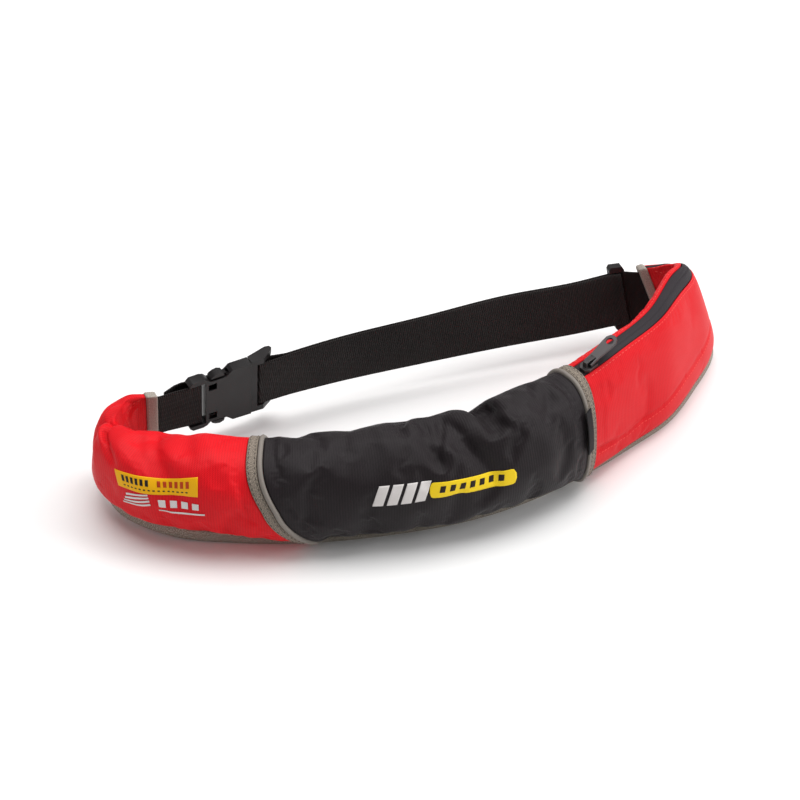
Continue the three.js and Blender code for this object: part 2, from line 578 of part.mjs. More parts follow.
// Seam cloth at the ends and seams stands proud, less so near the lower edge where the flange meets it.
const proud = (amount) => (turn) => amount * ease((turn < -90 ? 0 : Math.min(turn + 90, 270 - turn)) / 40);
const level = (amount) => () => amount;
const shifted = (seam, amount) => (turn) => seam(turn) + amount;
const fixed = (distance) => () => distance;

const LEFT_START = END_BAND_WIDTH + GAP;
const RIGHT_STOP = POUCH_LENGTH - END_BAND_WIDTH - GAP;
const PIPING_IN = BAND_WIDTH + GAP + PIPING_WIDTH;
const POCKET_START = PIPING_WIDTH + GAP + BAND_WIDTH + GAP;

// Rounded cord sewn into a seam: a narrow sleeve with a raised middle.
function piping(seam, from) {
  const points = [];
  const faces = [];
  const profile = [[0, -CLOTH], [0, 0.2], [0.2, 0.75], [0.5, 1], [0.8, 0.75], [1, 0.2], [1, -CLOTH]];
  for (let j = 0; j < AROUND; j += 1) {
    const turn = -90 + (360 * j) / AROUND;
    for (const [t, lift] of profile) {
      const grow = lift > 0 ? proud(PIPING_PROUD)(turn) * lift : lift;
      points.push(skin(seam(turn) + from + t * PIPING_WIDTH, turn, grow));
    }
  }
  const count = profile.length;
  for (let j = 0; j < AROUND; j += 1) {
    for (let k = 0; k < count; k += 1) {
      const [next, up] = [((j + 1) % AROUND) * count, (k + 1) % count];
      faces.push(...quad(j * count + k, j * count + up, next + up, next + k));
    }
  }
  return solid(points, faces);
}

// Binding along the lower edge, from one end of the pouch to the other.
function lowerBinding() {
  return slab(62, 1, (i, j, side) => {
    const distance = 1 + (POUCH_LENGTH - 2) * i;
    const at = distance / POUCH_LENGTH;
    const base = SHAPE.base(at) * POUCH_HEIGHT;
    const hem = Math.max(SHAPE.hem(at) * POUCH_HEIGHT - GAP, base + 0.9);
    return place(distance, (side ? -0.5 : 0.5) * FLANGE_THICKNESS, base + (hem - base) * j);
  });
}

// Frame of the zip slider: along the tape, across it, and away from it.
const ZIP_TURN = 84;
const zipAt = (distance, turn) => skin(distance, turn, 0);
const ALONG = zipAt(SLIDER_PLACE + 8, ZIP_TURN).sub(zipAt(SLIDER_PLACE - 8, ZIP_TURN)).normalize();
const TAPE_WAY = zipAt(SLIDER_PLACE, ZIP_TURN + 9).sub(zipAt(SLIDER_PLACE, ZIP_TURN - 9));
const ACROSS = TAPE_WAY.addScaledVector(ALONG, -TAPE_WAY.dot(ALONG)).normalize();
const AWAY = new THREE.Vector3().crossVectors(ALONG, ACROSS).normalize();
const SLIDER_LIFT = -0.15;
const HINGE_HEIGHT = 3.9;
const SLIDER_SEAT = zipAt(SLIDER_PLACE, ZIP_TURN).addScaledVector(AWAY, SLIDER_LIFT);

function onZip(shape, tilt) {
  const mesh = shape.getMesh();
  const points = [];
  for (let i = 0; i < mesh.numVert; i += 1) {
    const at = i * mesh.numProp;
    const [x, y, z] = mesh.vertProperties.slice(at, at + 3);
    const [c, s] = [Math.cos(tilt * RAD), Math.sin(tilt * RAD)];
    const point = SLIDER_SEAT.clone().addScaledVector(ACROSS, y);
    point.addScaledVector(ALONG, x * c - z * s);
    point.addScaledVector(AWAY, x * s + z * c + (tilt ? HINGE_HEIGHT : 0));
    points.push(point);
  }
  return solid(points, trianglesOf(mesh));
}

function zipSlider() {
  const shape = joined(
    plate([[-6.2, -2.2], [-3, -4.3], [4.6, -3.9], [6.4, -2.2], [6.4, 2.2], [4.6, 3.9], [-3, 4.3], [-6.2, 2.2]], 0, 2.4),
    box(-4.2, -2.3, -1.5, 1.5, 2, 6),
    box(2.3, 4.2, -1.5, 1.5, 2, 6),
    box(-4.2, 4.2, -1.5, 1.5, 5.2, 6.6),
  );
  return onZip(shape, 0);
}

function zipPull() {
  const half = PULL_THICKNESS / 2;
  const tip = PULL_LENGTH;
  const wide = PULL_WIDTH / 2;
  const outline = mirrored([
    [-1.1, 3.4], [7, 3.2], [tip - 9, wide - 0.2], [tip - 3.5, wide], [tip - 1, wide - 1.4], [tip, wide - 3],
  ]);
  const hole = Manifold.cylinder(9, 2.5, 2.5, 20).translate([tip - 4.9, 0, -4]);
  const fork = box(-5, 5, -1.95, 1.95, -4, 4);
  const pin = Manifold.cylinder(6, 0.8, 0.8, 12).rotate([90, 0, 0]).translate([0, 3, 0]);
  return onZip(joined(plate(outline, -half, half).subtract(joined(hole, fork)), pin), PULL_REST_ANGLE);
}

const COLOURS = {
  red: 0xd8322c, black: 0x2d292c, grey: 0x7d7a70, pipe: 0x969289, tape: 0x464448, webbing: 0x23201e,
  plastic: 0x2d2d2f, metal: 0x5d5c5e,
};

const PARTS = [
  ['left_cover', 'red', () => sleeve(fixed(LEFT_START), shifted(leftSeam, -GAP), 21, level(0), level(-CLOTH))],
  ['left_seam_binding', 'grey', () => {
    return sleeve(leftSeam, shifted(leftSeam, BAND_WIDTH), 2, proud(BAND_PROUD), level(-CLOTH));
  }],
  ['left_piping', 'pipe', () => piping(leftSeam, BAND_WIDTH + GAP)],
  ['middle_cover', 'black', () => {
    return sleeve(shifted(leftSeam, PIPING_IN + GAP), shifted(rightSeam, -GAP), 24, level(0), level(-CLOTH));
  }],
  ['right_piping', 'pipe', () => piping(rightSeam, 0)],
  ['right_seam_binding', 'grey', () => {
    const start = PIPING_WIDTH + GAP;
    const end = shifted(rightSeam, start + BAND_WIDTH);
    return sleeve(shifted(rightSeam, start), end, 2, proud(BAND_PROUD), level(-CLOTH));
  }],
  ['side_tag', 'black', () => {
    const lift = PIPING_PROUD + GAP;
    return panel(shifted(rightSeam, -3), shifted(rightSeam, PIPING_WIDTH - 0.4), 2, () => [-4, 34], 6, lift + 1, lift);
  }],
  ['pocket_front', 'red', () => {
    const turns = (i) => [-82 + 14 * (1 - ease(i / 0.08)), TAPE.front(i)];
    return panel(shifted(rightSeam, POCKET_START), fixed(RIGHT_STOP), 22, turns, 12, 0, -CLOTH);
  }],
  ['zip_tape', 'tape', () => {
    const turns = (i) => [TAPE.front(i) + 1.5, TAPE.back(i) - 1.5];
    return panel(shifted(rightSeam, POCKET_START), fixed(RIGHT_STOP), 22, turns, 3, -0.5, -0.5 - TAPE_THICKNESS);
  }],
  ['pocket_back', 'red', () => {
    const turns = (i) => [TAPE.back(i), 264];
    return panel(shifted(rightSeam, POCKET_START), fixed(RIGHT_STOP), 22, turns, 12, 0, -CLOTH);
  }],
  ['lower_binding', 'grey', lowerBinding],
  ['left_end_binding', 'grey', () => sleeve(fixed(0), fixed(END_BAND_WIDTH), 2, proud(BAND_PROUD), level(-CLOTH))],
  ['right_end_binding', 'grey', () => {
    return sleeve(fixed(RIGHT_STOP + GAP), fixed(POUCH_LENGTH), 2, proud(BAND_PROUD), level(-CLOTH));
  }],
  ['left_strap', 'webbing', leftStrap],
  ['belt_strap', 'webbing', beltStrap],
  ['buckle_socket', 'plastic', buckleSocket],
  ['buckle_plug', 'plastic', bucklePlug],
  ['strap_adjuster', 'plastic', triGlide],
  ['zip_slider', 'metal', zipSlider],
  ['zip_pull', 'metal', zipPull],
];

const belt = new THREE.Group();
belt.name = 'inflatable_belt_pack';
for (const [name, colour, make] of PARTS) {
  const material = new THREE.MeshStandardMaterial({ color: COLOURS[colour], roughness: 0.7 });
  const mesh = new THREE.Mesh(make(), material);
  mesh.name = name;
  belt.add(mesh);
}

// The origin sits under the middle of the object, at the level it stands on.
const bounds = new THREE.Box3().setFromObject(belt);
const middle = bounds.getCenter(new THREE.Vector3());
for (const mesh of belt.children) mesh.geometry.translate(-middle.x, -middle.y, -bounds.min.z);

export default belt;
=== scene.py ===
"""Looks of the inflatable belt pack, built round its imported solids."""

import functools
import logging
import math
from collections.abc import Callable
from dataclasses import dataclass, field
from enum import Enum

import bmesh
import bpy
import numpy as np
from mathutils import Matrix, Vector


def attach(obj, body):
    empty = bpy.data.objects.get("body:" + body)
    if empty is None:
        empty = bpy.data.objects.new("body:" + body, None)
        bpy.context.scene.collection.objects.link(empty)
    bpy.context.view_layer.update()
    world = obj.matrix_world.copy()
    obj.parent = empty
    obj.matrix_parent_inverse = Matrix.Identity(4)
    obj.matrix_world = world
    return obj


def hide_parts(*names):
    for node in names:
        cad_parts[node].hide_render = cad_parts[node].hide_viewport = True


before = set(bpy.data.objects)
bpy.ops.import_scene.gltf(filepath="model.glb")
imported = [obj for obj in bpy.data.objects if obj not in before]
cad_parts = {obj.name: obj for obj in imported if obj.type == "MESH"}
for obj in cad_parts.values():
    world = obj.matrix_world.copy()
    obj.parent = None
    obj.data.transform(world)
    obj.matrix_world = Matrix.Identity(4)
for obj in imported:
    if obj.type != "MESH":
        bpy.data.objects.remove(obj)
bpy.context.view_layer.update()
LOG = logging.getLogger("belt_pack")

MM = 0.001
# Middle of the solids' box in the route's own millimetres, where the frame's origin is.
CENTRE = np.array([22.474007, -16.126621, 0.0])
BODY = "pack"

# Route of the lower edge in mm (along, across) and its lean per mm of height (along, across).
LOOP_LENGTH = 445.0
LOOP_DEPTH = 148.0
POUCH_ROWS = 19
ROUTE_ROWS = (
    (-0.3483, 0.3514, 0.0, -0.26), (-0.3935, 0.333, 0.02, -0.14), (-0.424, 0.27, 0.03, -0.05),
    (-0.4365, 0.1622, -0.06, 0.0), (-0.4375, 0.022, -0.04, 0.0), (-0.4205, -0.1, 0.0, 0.0),
    (-0.372, -0.243, 0.0, 0.0), (-0.299, -0.35, 0.0, 0.0), (-0.2045, -0.454, 0.0, 0.0),
    (-0.1011, -0.525, 0.0, 0.0), (0.0225, -0.565, 0.0, 0.0), (0.1258, -0.541, 0.0, 0.0),
    (0.2315, -0.46, -0.02, 0.03), (0.3258, -0.354, -0.05, 0.08), (0.4112, -0.238, -0.1, 0.12),
    (0.4899, -0.042, -0.19, 0.14), (0.5455, 0.1216, -0.3, 0.1), (0.56, 0.2432, -0.36, 0.08),
    (0.5325, 0.3243, -0.38, 0.1), (0.5, 0.334, -0.36, 0.2), (0.427, 0.3412, -0.1, 0.26),
    (0.3371, 0.3547, 0.0, 0.2), (0.2202, 0.3784, 0.0, 0.17), (0.0899, 0.4054, 0.0, 0.03),
    (-0.0449, 0.4189, 0.0, -0.06), (-0.1573, 0.412, 0.0, -0.16), (-0.236, 0.3885, 0.0, -0.2),
    (-0.3146, 0.361, 0.0, -0.24),
)

# Sections of the pouch: place, base, hem, top, front, back, low, up, flat.
POUCH_HEIGHT = 86.0
POUCH_THICKNESS = 52.0
SECTION_KEYS = ("base", "hem", "top", "front", "back", "low", "up", "flat")
SECTION_ROWS = (
    (0.0, 0.165, 0.187, 0.685, 0.054, 0.054, 0.2, 0.2, 0.2),
    (0.02, 0.16, 0.185, 0.686, 0.056, 0.062, 0.25, 0.25, 0.25),
    (0.045, 0.12, 0.175, 0.675, 0.065, 0.17, 0.7, 0.6, 0.6),
    (0.085, 0.06, 0.15, 0.69, 0.06, 0.36, 1.1, 0.8, 0.85),
    (0.13, 0.05, 0.145, 0.735, 0.12, 0.54, 1.3, 0.8, 0.85),
    (0.18, 0.035, 0.13, 0.77, 0.22, 0.64, 1.3, 0.8, 0.85),
    (0.24, 0.012, 0.1, 0.795, 0.27, 0.69, 1.3, 0.8, 0.85),
    (0.3, 0.0, 0.06, 0.79, 0.29, 0.7, 1.25, 0.8, 0.85),
    (0.36, 0.0, 0.042, 0.83, 0.3, 0.7, 1.2, 0.8, 0.85),
    (0.44, 0.0, 0.036, 0.86, 0.31, 0.7, 1.2, 0.8, 0.85),
    (0.52, 0.0, 0.042, 0.885, 0.33, 0.69, 1.15, 0.8, 0.85),
    (0.585, 0.0, 0.05, 0.925, 0.34, 0.66, 1.1, 0.8, 0.85),
    (0.622, 0.0, 0.05, 0.92, 0.33, 0.62, 1.0, 0.8, 0.85),
    (0.643, 0.0, 0.042, 0.93, 0.24, 0.56, 0.9, 0.8, 0.85),
    (0.68, 0.0, 0.036, 0.955, 0.18, 0.47, 0.85, 0.75, 0.8),
    (0.73, 0.0, 0.036, 0.98, 0.14, 0.37, 0.8, 0.72, 0.8),
    (0.8, 0.0, 0.036, 1.0, 0.13, 0.33, 0.8, 0.72, 0.8),
    (0.87, 0.0, 0.036, 0.98, 0.14, 0.3, 0.8, 0.72, 0.8),
    (0.92, 0.02, 0.06, 0.92, 0.12, 0.22, 0.8, 0.7, 0.75),
    (0.955, 0.07, 0.12, 0.825, 0.09, 0.14, 0.6, 0.6, 0.6),
    (0.98, 0.13, 0.165, 0.735, 0.056, 0.07, 0.25, 0.25, 0.25),
    (1.0, 0.165, 0.187, 0.685, 0.054, 0.054, 0.2, 0.2, 0.2),
)

# Folds: from place and turn, to place and turn, half-width in mm, depth in mm (ridges below zero).
FOLD_ROWS = (
    (0.088, 100, 0.093, 25, 8, 6.75), (0.106, 84, 0.112, 30, 6, -2.0),
    (0.078, 130, 0.066, 210, 9, 2.7), (0.163, 88, 0.215, 15, 9, 3.4),
    (0.138, 80, 0.15, 40, 9, -1.35), (0.235, 92, 0.25, 30, 15, -2.25),
    (0.15, -15, 0.27, -52, 8, 2.25), (0.3, 95, 0.31, 45, 8, 1.6), (0.36, 80, 0.4, 20, 12, 1.1),
    (0.462, 82, 0.468, 48, 6, 3.4), (0.447, 95, 0.478, 50, 5, -1.8), (0.48, 90, 0.52, 15, 7, 2.7),
    (0.5, 100, 0.55, 40, 7, -1.6), (0.525, 125, 0.532, 72, 7, 5.6),
    (0.55, 100, 0.57, 60, 9, -2.25), (0.565, 78, 0.6, 70, 6, 2.7), (0.583, 50, 0.6, 10, 7, 1.8),
    (0.44, 200, 0.5, 150, 12, 2.25), (0.26, 150, 0.22, 210, 12, 2.7),
    (0.955, 88, 0.95, 30, 6, 1.6),
)

# Sharp creases: from mm and turn, to mm and turn, half-width and depth in mm (ridges below zero).
LEFT_CREASES = (
    (65, 98, 71, 70, 2.4, 4.2), (71, 70, 80, 57, 2.4, 3.9), (80, 57, 91, 34, 3.0, 2.6),
    (60, 94, 67, 70, 3.2, -2.2), (67, 70, 76, 54, 3.0, -1.6), (104, 117, 116, 77, 4.0, 1.8),
    (116, 77, 130, 36, 4.5, 1.6), (98, 110, 108, 74, 4.0, -0.9), (30, 92, 46, 60, 4.0, 1.0),
    (22, 100, 40, 150, 4.0, 1.2), (136, 100, 142, 62, 4.5, 1.0), (150, 96, 158, 50, 4.5, -0.9),
    (60, 130, 64, 190, 3.6, 2.2), (84, 120, 82, 180, 4.0, -1.2),
)
MIDDLE_CREASES = (
    (299.5, 100, 294, 62, 3.2, 2.6), (282.5, 97, 292, 70, 4.0, -1.4),
    (292, 70, 303.5, 33, 4.0, -1.2), (302.5, 95, 308, 77, 3.2, 2.0),
    (308, 77, 314.5, 35, 3.6, 1.6), (333, 116, 334, 98, 3.6, 4.2), (334, 98, 338, 58, 3.0, 1.4),
    (336, 97, 352, 60, 3.0, 1.2), (338.5, 86, 343, 61, 3.4, -1.3), (343, 61, 350, 40, 3.4, -1.1),
    (355, 112, 362, 92, 4.0, -1.2), (374, 106, 381, 78, 4.0, -1.3),
    (376.5, 90, 365, 54, 3.0, 1.6), (368, 108, 366, 86, 3.0, 1.5), (385, 98, 386, 60, 3.4, 2.0),
    (236, 96, 232, 50, 4.0, 1.2), (258, 98, 262, 62, 4.5, -1.0), (318, 104, 322, 60, 4.0, -1.0),
)
POCKET_CREASES = (
    (405, -17, 438.5, -25, 1.5, 1.0), (438.5, -25, 474.5, -22.5, 1.5, 1.0),
    (474.5, -22.5, 504.5, -15.5, 1.5, 0.9), (504.5, -15.5, 538.5, -16, 1.5, 0.9),
    (538.5, -16, 590, -12, 1.5, 0.9), (404, -18, 418, -21, 2.2, 1.4),
    (404, 40, 432, 12, 5.0, 0.7),
)

# Turns of the zip tape's front and back edges at shares of the way along the pocket.
TAPE_ROWS = (
    (0.0, 74, 99), (0.25, 68, 98), (0.5, 60, 96), (0.75, 50, 92), (0.9, 50, 90), (1.0, 66, 96),
)

# Seams: place at the crest, run from there to the lower edge, in mm, and how late it runs.
LEFT_SEAM = (174.0, 37.0, 1.8)
RIGHT_SEAM = (394.0, -3.0)

BAND_WIDTH = 6.5
PIPING_WIDTH = 3.2
END_BAND_WIDTH = 7.5
GAP = 0.3
CLOTH = 1.6

BAND_STEPS = 220
LEVEL_SPREAD = 0.5  # mm of a section per degree of turn, for folds, creases and waves


def ease(share: np.ndarray) -> np.ndarray:
    """Smooth step from 0 to 1."""
    held = np.clip(share, 0.0, 1.0)
    return held * held * (3.0 - 2.0 * held)


def unit(vectors: np.ndarray) -> np.ndarray:
    """Vectors with the same way and a length of 1."""
    return vectors / (np.linalg.norm(vectors, axis=-1, keepdims=True) + 1e-12)


def running(steps: np.ndarray) -> np.ndarray:
    """Running total of steps, from zero."""
    return np.concatenate([[0.0], np.cumsum(steps)])


def low_share(turn: np.ndarray) -> np.ndarray:
    """Share of the way down from the crest to the lower edge."""
    return (1.0 - np.sin(np.radians(turn))) / 2.0


def left_seam(turn: np.ndarray) -> np.ndarray:
    """Place of the left seam at a turn, in mm along the pouch."""
    crest, run, bend = LEFT_SEAM
    return crest + run * low_share(turn) ** bend


def right_seam(turn: np.ndarray) -> np.ndarray:
    """Place of the right seam at a turn, in mm along the pouch."""
    crest, run = RIGHT_SEAM
    return crest + run * low_share(turn)


def shifted(seam: Callable, amount: float) -> Callable:
    """A seam moved along the pouch by an amount in mm."""
    return lambda turn: seam(turn) + amount


def fixed(distance: float) -> Callable:
    """A seam that keeps one distance at every turn."""
    return lambda turn: distance + 0.0 * np.asarray(turn, float)


def column(places: np.ndarray, values: np.ndarray) -> Callable:
    """Smooth curve through one column of a table, which never overshoots its rows.

    Args:
        places: Place of each row, rising.
        values: Value at each row.

    Returns:
        The curve, which takes places and gives values.
    """
    slope = np.diff(values) / np.diff(places)
    tangent = np.concatenate([slope[:1], np.zeros(len(slope) - 1), slope[-1:]])
    before, after = slope[:-1], slope[1:]
    same = before * after > 0
    tangent[1:-1] = np.where(same, 2 * before * after / np.where(same, before + after, 1.0), 0.0)

    def curve(at: np.ndarray) -> np.ndarray:
        """Value of the curve at a place.

        Args:
            at: Places, held to the table's range.

        Returns:
            Values at the places.
        """
        x = np.clip(at, places[0], places[-1])
        i = np.clip(np.searchsorted(places, x) - 1, 0, len(places) - 2)
        width = places[i + 1] - places[i]
        t = (x - places[i]) / width
        first = (1 + 2 * t) * (1 - t) ** 2 * values[i] + t * (1 - t) ** 2 * width * tangent[i]
        last = t * t * (3 - 2 * t) * values[i + 1] - t * t * (1 - t) * width * tangent[i + 1]
        return first + last

    return curve


class Route:
    """Closed line of the belt on the table, with the lean of what stands on it."""

    STEPS = 24

    def __init__(self) -> None:
        """Runs a smooth curve through the rows and measures it."""
        rows = np.array(ROUTE_ROWS) * (LOOP_LENGTH, LOOP_DEPTH, 1.0, 1.0)
        t = (np.arange(self.STEPS) / self.STEPS)[:, None]
        parts = []
        for i in range(len(rows)):
            a, b, c, d = (rows[(i + k) % len(rows)] for k in (-1, 0, 1, 2))
            curve = (2 * a - 5 * b + 4 * c - d) * t**2 + (3 * b - a - 3 * c + d) * t**3
            parts.append(0.5 * (2 * b + (c - a) * t + curve))
        self.line = np.concatenate([*parts, parts[0][:1]])
        steps = np.hypot(*np.diff(self.line[:, :2], axis=0).T)
        self.run = running(steps)
        self.total = float(self.run[-1])
        self.pouch = float(self.run[POUCH_ROWS * self.STEPS])

    def at(self, distance: np.ndarray) -> list[np.ndarray]:
        """x, y, lean along and lean across at a distance along the route, in mm."""
        s = np.mod(distance, self.total)
        return [np.interp(s, self.run, self.line[:, k]) for k in range(4)]

    def place(self, distance: np.ndarray, out: np.ndarray, up: np.ndarray) -> np.ndarray:
        """Lays points on the route.

        Args:
            distance: Distance along the route, in mm.
            out: Distance outwards from the line, in mm.
            up: Height over the table, in mm.

        Returns:
            Points in mm.
        """
        s = np.asarray(distance, float)
        x, y, lean_x, lean_y = self.at(s)
        x0, y0, *_ = self.at(s - 3)
        x1, y1, *_ = self.at(s + 3)
        length = np.hypot(x1 - x0, y1 - y0)
        nx, ny = (y1 - y0) / length, -(x1 - x0) / length
        up = up + 0.0 * x
        return np.stack([x + out * nx + up * lean_x, y + out * ny + up * lean_y, up], -1)


class Skin:
    """The pouch's skin by distance and turn: 0 faces out, 90 is the crest, -90 the lower edge."""

    def __init__(self) -> None:
        """Reads the tables."""
        self.route = Route()
        rows = np.array(SECTION_ROWS)
        self.shape = {key: column(rows[:, 0], rows[:, k + 1]) for k, key in enumerate(SECTION_KEYS)}
        tape = np.array(TAPE_ROWS)
        self.tape_front = column(tape[:, 0], tape[:, 1])
        self.tape_back = column(tape[:, 0], tape[:, 2])

    def lower_edge(self, distance: np.ndarray) -> tuple[np.ndarray, np.ndarray]:
        """Heights of the lower edge tape's foot and of its top, in mm.

        Args:
            distance: Distance along the pouch, in mm.

        Returns:
            Height of the foot and height of the top.
        """
        at = distance / self.route.pouch
        base = self.shape["base"](at) * POUCH_HEIGHT
        return base, np.maximum(self.shape["hem"](at) * POUCH_HEIGHT - GAP, base + 0.9)

    def fold(self, distance: np.ndarray, turn: np.ndarray) -> np.ndarray:
        """How far the folds push the skin in, in mm; they fade out at the seams.

        Args:
            distance: Distance along the pouch, in mm.
            turn: Turn round the pouch, in degrees.

        Returns:
            Depth of the folds at each point, below zero on a ridge.
        """
        pouch = self.route.pouch
        wrapped = np.where(turn < -90, turn + 360, turn)
        total = 0.0
        for at0, turn0, at1, turn1, reach, depth in FOLD_ROWS:
            x, y = distance - at0 * pouch, (wrapped - turn0) * LEVEL_SPREAD
            dx, dy = (at1 - at0) * pouch, (turn1 - turn0) * LEVEL_SPREAD
            t = np.clip((x * dx + y * dy) / (dx * dx + dy * dy), 0, 1)
            total = total + depth * np.exp(-((x - t * dx) ** 2 + (y - t * dy) ** 2) / reach**2)
        left = np.abs(distance - left_seam(turn) - BAND_WIDTH / 2) - BAND_WIDTH
        right = np.abs(distance - right_seam(turn) - BAND_WIDTH / 2) - BAND_WIDTH
        ends = np.minimum(distance, pouch - distance) - END_BAND_WIDTH
        return total * ease(left / 9) * ease(right / 9) * ease(ends / 16)

    def point(self, distance: np.ndarray, turn: np.ndarray, grow: np.ndarray = 0.0) -> np.ndarray:
        """Points of the skin.

        Args:
            distance: Distance along the pouch, in mm.
            turn: Turn round the pouch, in degrees.
            grow: How far outside the skin, in mm.

        Returns:
            Points in mm.
        """
        distance, turn = np.broadcast_arrays(np.asarray(distance, float), np.asarray(turn, float))
        at, shape = distance / self.route.pouch, self.shape
        front = shape["front"](at) * POUCH_THICKNESS
        back = shape["back"](at) * POUCH_THICKNESS
        hem = shape["hem"](at) * POUCH_HEIGHT
        top = shape["top"](at) * POUCH_HEIGHT
        push = grow - self.fold(distance, turn)
        cos, sin = np.cos(np.radians(turn)), np.sin(np.radians(turn))
        roundness = np.where(sin < 0, shape["low"](at), shape["up"](at))
        high = np.sign(sin) * np.abs(sin) ** shape["flat"](at)
        shift = (front - back) / 2 * (1 - low_share(turn) ** 2)
        out = shift + ((front + back) / 2 + push) * np.sign(cos) * np.abs(cos) ** roundness
        return self.route.place(distance, out, (hem + top) / 2 + ((top - hem) / 2 + push) * high)


SKIN = Skin()
ROUTE = SKIN.route
RIGHT_STOP = ROUTE.pouch - END_BAND_WIDTH - GAP
POCKET_START = PIPING_WIDTH + GAP + BAND_WIDTH + GAP
PIPING_IN = BAND_WIDTH + GAP + PIPING_WIDTH


def proud(amount: float) -> Callable:
    """How far seam cloth stands proud at a turn, less near the lower edge."""
    return lambda turn: amount * ease(np.minimum(turn + 90, 270 - turn) / 40)


# Node graphs and finishes.


class Graph:
    """Adds and links nodes in one node tree."""

    def __init__(self, tree: bpy.types.NodeTree) -> None:
        """Takes the tree that the nodes go into."""
        self.tree = tree

    def add(self, kind: str, inputs: dict | None = None, **settings: object) -> bpy.types.Node:
        """Adds a node and fills its inputs.

        Args:
            kind: Kind of node, without its shader prefix.
            inputs: Numbers, colours or outputs for inputs, by name or index.
            settings: Properties of the node.

        Returns:
            The node.
        """
        node = self.tree.nodes.new(kind if kind.startswith("Node") else f"ShaderNode{kind}")
        for key, value in settings.items():
            setattr(node, key, value)
        for key, value in (inputs or {}).items():
            socket = node.inputs[key]
            if isinstance(value, bpy.types.NodeSocket):
                self.tree.links.new(value, socket)
            else:
                socket.default_value = value
        return node

    def math(self, operation: str, *values: object) -> bpy.types.NodeSocket:
        """Result of a Math node on up to three numbers or outputs."""
        return self.add("Math", dict(enumerate(values)), operation=operation).outputs[0]

    def mix(self, share: object, first: object, second: object) -> bpy.types.NodeSocket:
        """Colour between two colours."""
        node = self.add("Mix", {0: share, 6: first, 7: second}, data_type="RGBA")
        return node.outputs[2]

    def noise(self, vector: object, scale: float, detail: float = 3.0) -> bpy.types.NodeSocket:
        """Value of a Noise texture."""
        return self.add("TexNoise", {"Vector": vector, "Scale": scale, "Detail": detail}).outputs[0]


class Effects:
    """Shader node groups that several finishes share, each built once."""

    @staticmethod
    def group(name: str, numbers: dict[str, float], outputs: tuple[str, ...]) -> tuple:
        """Starts a node group that takes a vector and some numbers.

        Args:
            name: Name of the group.
            numbers: Names and usual values of its numbers.
            outputs: Names of its outputs.

        Returns:
            Its tree, its Graph, its inputs and its outputs.
        """
        tree = bpy.data.node_groups.new(name, "ShaderNodeTree")
        add = tree.interface.new_socket
        add(name="Vector", in_out="INPUT", socket_type="NodeSocketVector")
        for key, value in numbers.items():
            add(name=key, in_out="INPUT", socket_type="NodeSocketFloat").default_value = value
        for key in outputs:
            add(name=key, in_out="OUTPUT", socket_type="NodeSocketFloat")
        graph = Graph(tree)
        return tree, graph, graph.add("NodeGroupInput").outputs, graph.add("NodeGroupOutput").inputs

    @classmethod
    def threads(cls, name: str, fuzz_scale: float, height_of: Callable) -> bpy.types.NodeTree:
        """Height of the threads of a cloth, and their Shade: random tone mixed with painted shade
        that darkens where the threads lie low, by its coordinates in millimetres.

        Args:
            name: Name of the group.
            fuzz_scale: Scale of the uneven tone, in 1/mm.
            height_of: Adds the nodes of one weave and gives its height.

        Returns:
            The group.
        """
        numbers = {"Thread": 1.0, "Slant": 0.0}
        tree, graph, given, out = cls.group(name, numbers, ("Height", "Shade"))
        x, y, _ = graph.add("SeparateXYZ", {0: given["Vector"]}).outputs
        lean = graph.math("MULTIPLY_ADD", y, given["Slant"], x)
        height = height_of(graph, lean, y, given["Thread"])
        fuzz = graph.noise(given["Vector"], fuzz_scale, 2.0)
        half = graph.math("MULTIPLY", height, 0.5)
        tree.links.new(height, out["Height"])
        # Painted shade: half the Shade is the threads' height, so the colour darkens in the grooves
        # between threads; the other half is random tone.
        tree.links.new(graph.math("MULTIPLY_ADD", fuzz, 0.5, half), out["Shade"])
        return tree

    @classmethod
    @functools.cache
    def weave(cls) -> bpy.types.NodeTree:
        """Plain weave: threads cross one another.

        Returns:
            The group.
        """

        def height(graph: Graph, lean: object, along: object, thread: object) -> object:
            """Product of a wave across the cloth and a wave along it.

            Args:
                graph: Where the nodes go.
                lean: Place across the cloth.
                along: Place along the cloth.
                thread: Width of a thread.

            Returns:
                Height from 0 to 1.
            """
            rate = graph.math("DIVIDE", math.pi, thread)
            waves = [graph.math("SINE", graph.math("MULTIPLY", way, rate)) for way in (lean, along)]
            return graph.math("MULTIPLY_ADD", graph.math("MULTIPLY", *waves), 0.5, 0.5)

        return cls.threads("plain weave", 1.7, height)

    @classmethod
    @functools.cache
    def ribs(cls) -> bpy.types.NodeTree:
        """Slanted ribs of heavy webbing, with fine threads across them.

        Returns:
            The group.
        """

        def height(graph: Graph, lean: object, along: object, thread: object) -> object:
            """Tall wave of the ribs and a low wave of the threads across.

            Args:
                graph: Where the nodes go.
                lean: Place across the webbing.
                along: Place along the webbing.
                thread: Width of a rib.

            Returns:
                Height from 0 to 1.
            """
            rate = graph.math("DIVIDE", 2 * math.pi, thread)
            rib = graph.math("SINE", graph.math("MULTIPLY", lean, rate))
            picks = graph.math("SINE", graph.math("MULTIPLY", along, 7.5))
            return graph.math("MULTIPLY_ADD", rib, 0.4, graph.math("MULTIPLY_ADD", picks, 0.1, 0.5))

        return cls.threads("slanted ribs", 1.1, height)

    @classmethod
    @functools.cache
    def wear(cls) -> bpy.types.NodeTree:
        """Uneven handling marks by place on the object, as a soft mask.

        Returns:
            The group.
        """
        tree, graph, given, out = cls.group("handling wear", {"Size": 40.0}, ("Soft",))
        broad = graph.noise(given["Vector"], given["Size"], 4.0)
        soft = graph.add("MapRange", {0: broad, 1: 0.35, 2: 0.65}).outputs[0]
        tree.links.new(soft, out["Soft"])
        return tree


def linear(red: int, green: int, blue: int) -> tuple[float, float, float, float]:
    """Linear colour from screen values of 0 to 255."""
    values = [v / 255 for v in (red, green, blue)]
    return (*[v / 12.92 if v <= 0.04045 else ((v + 0.055) / 1.055) ** 2.4 for v in values], 1.0)


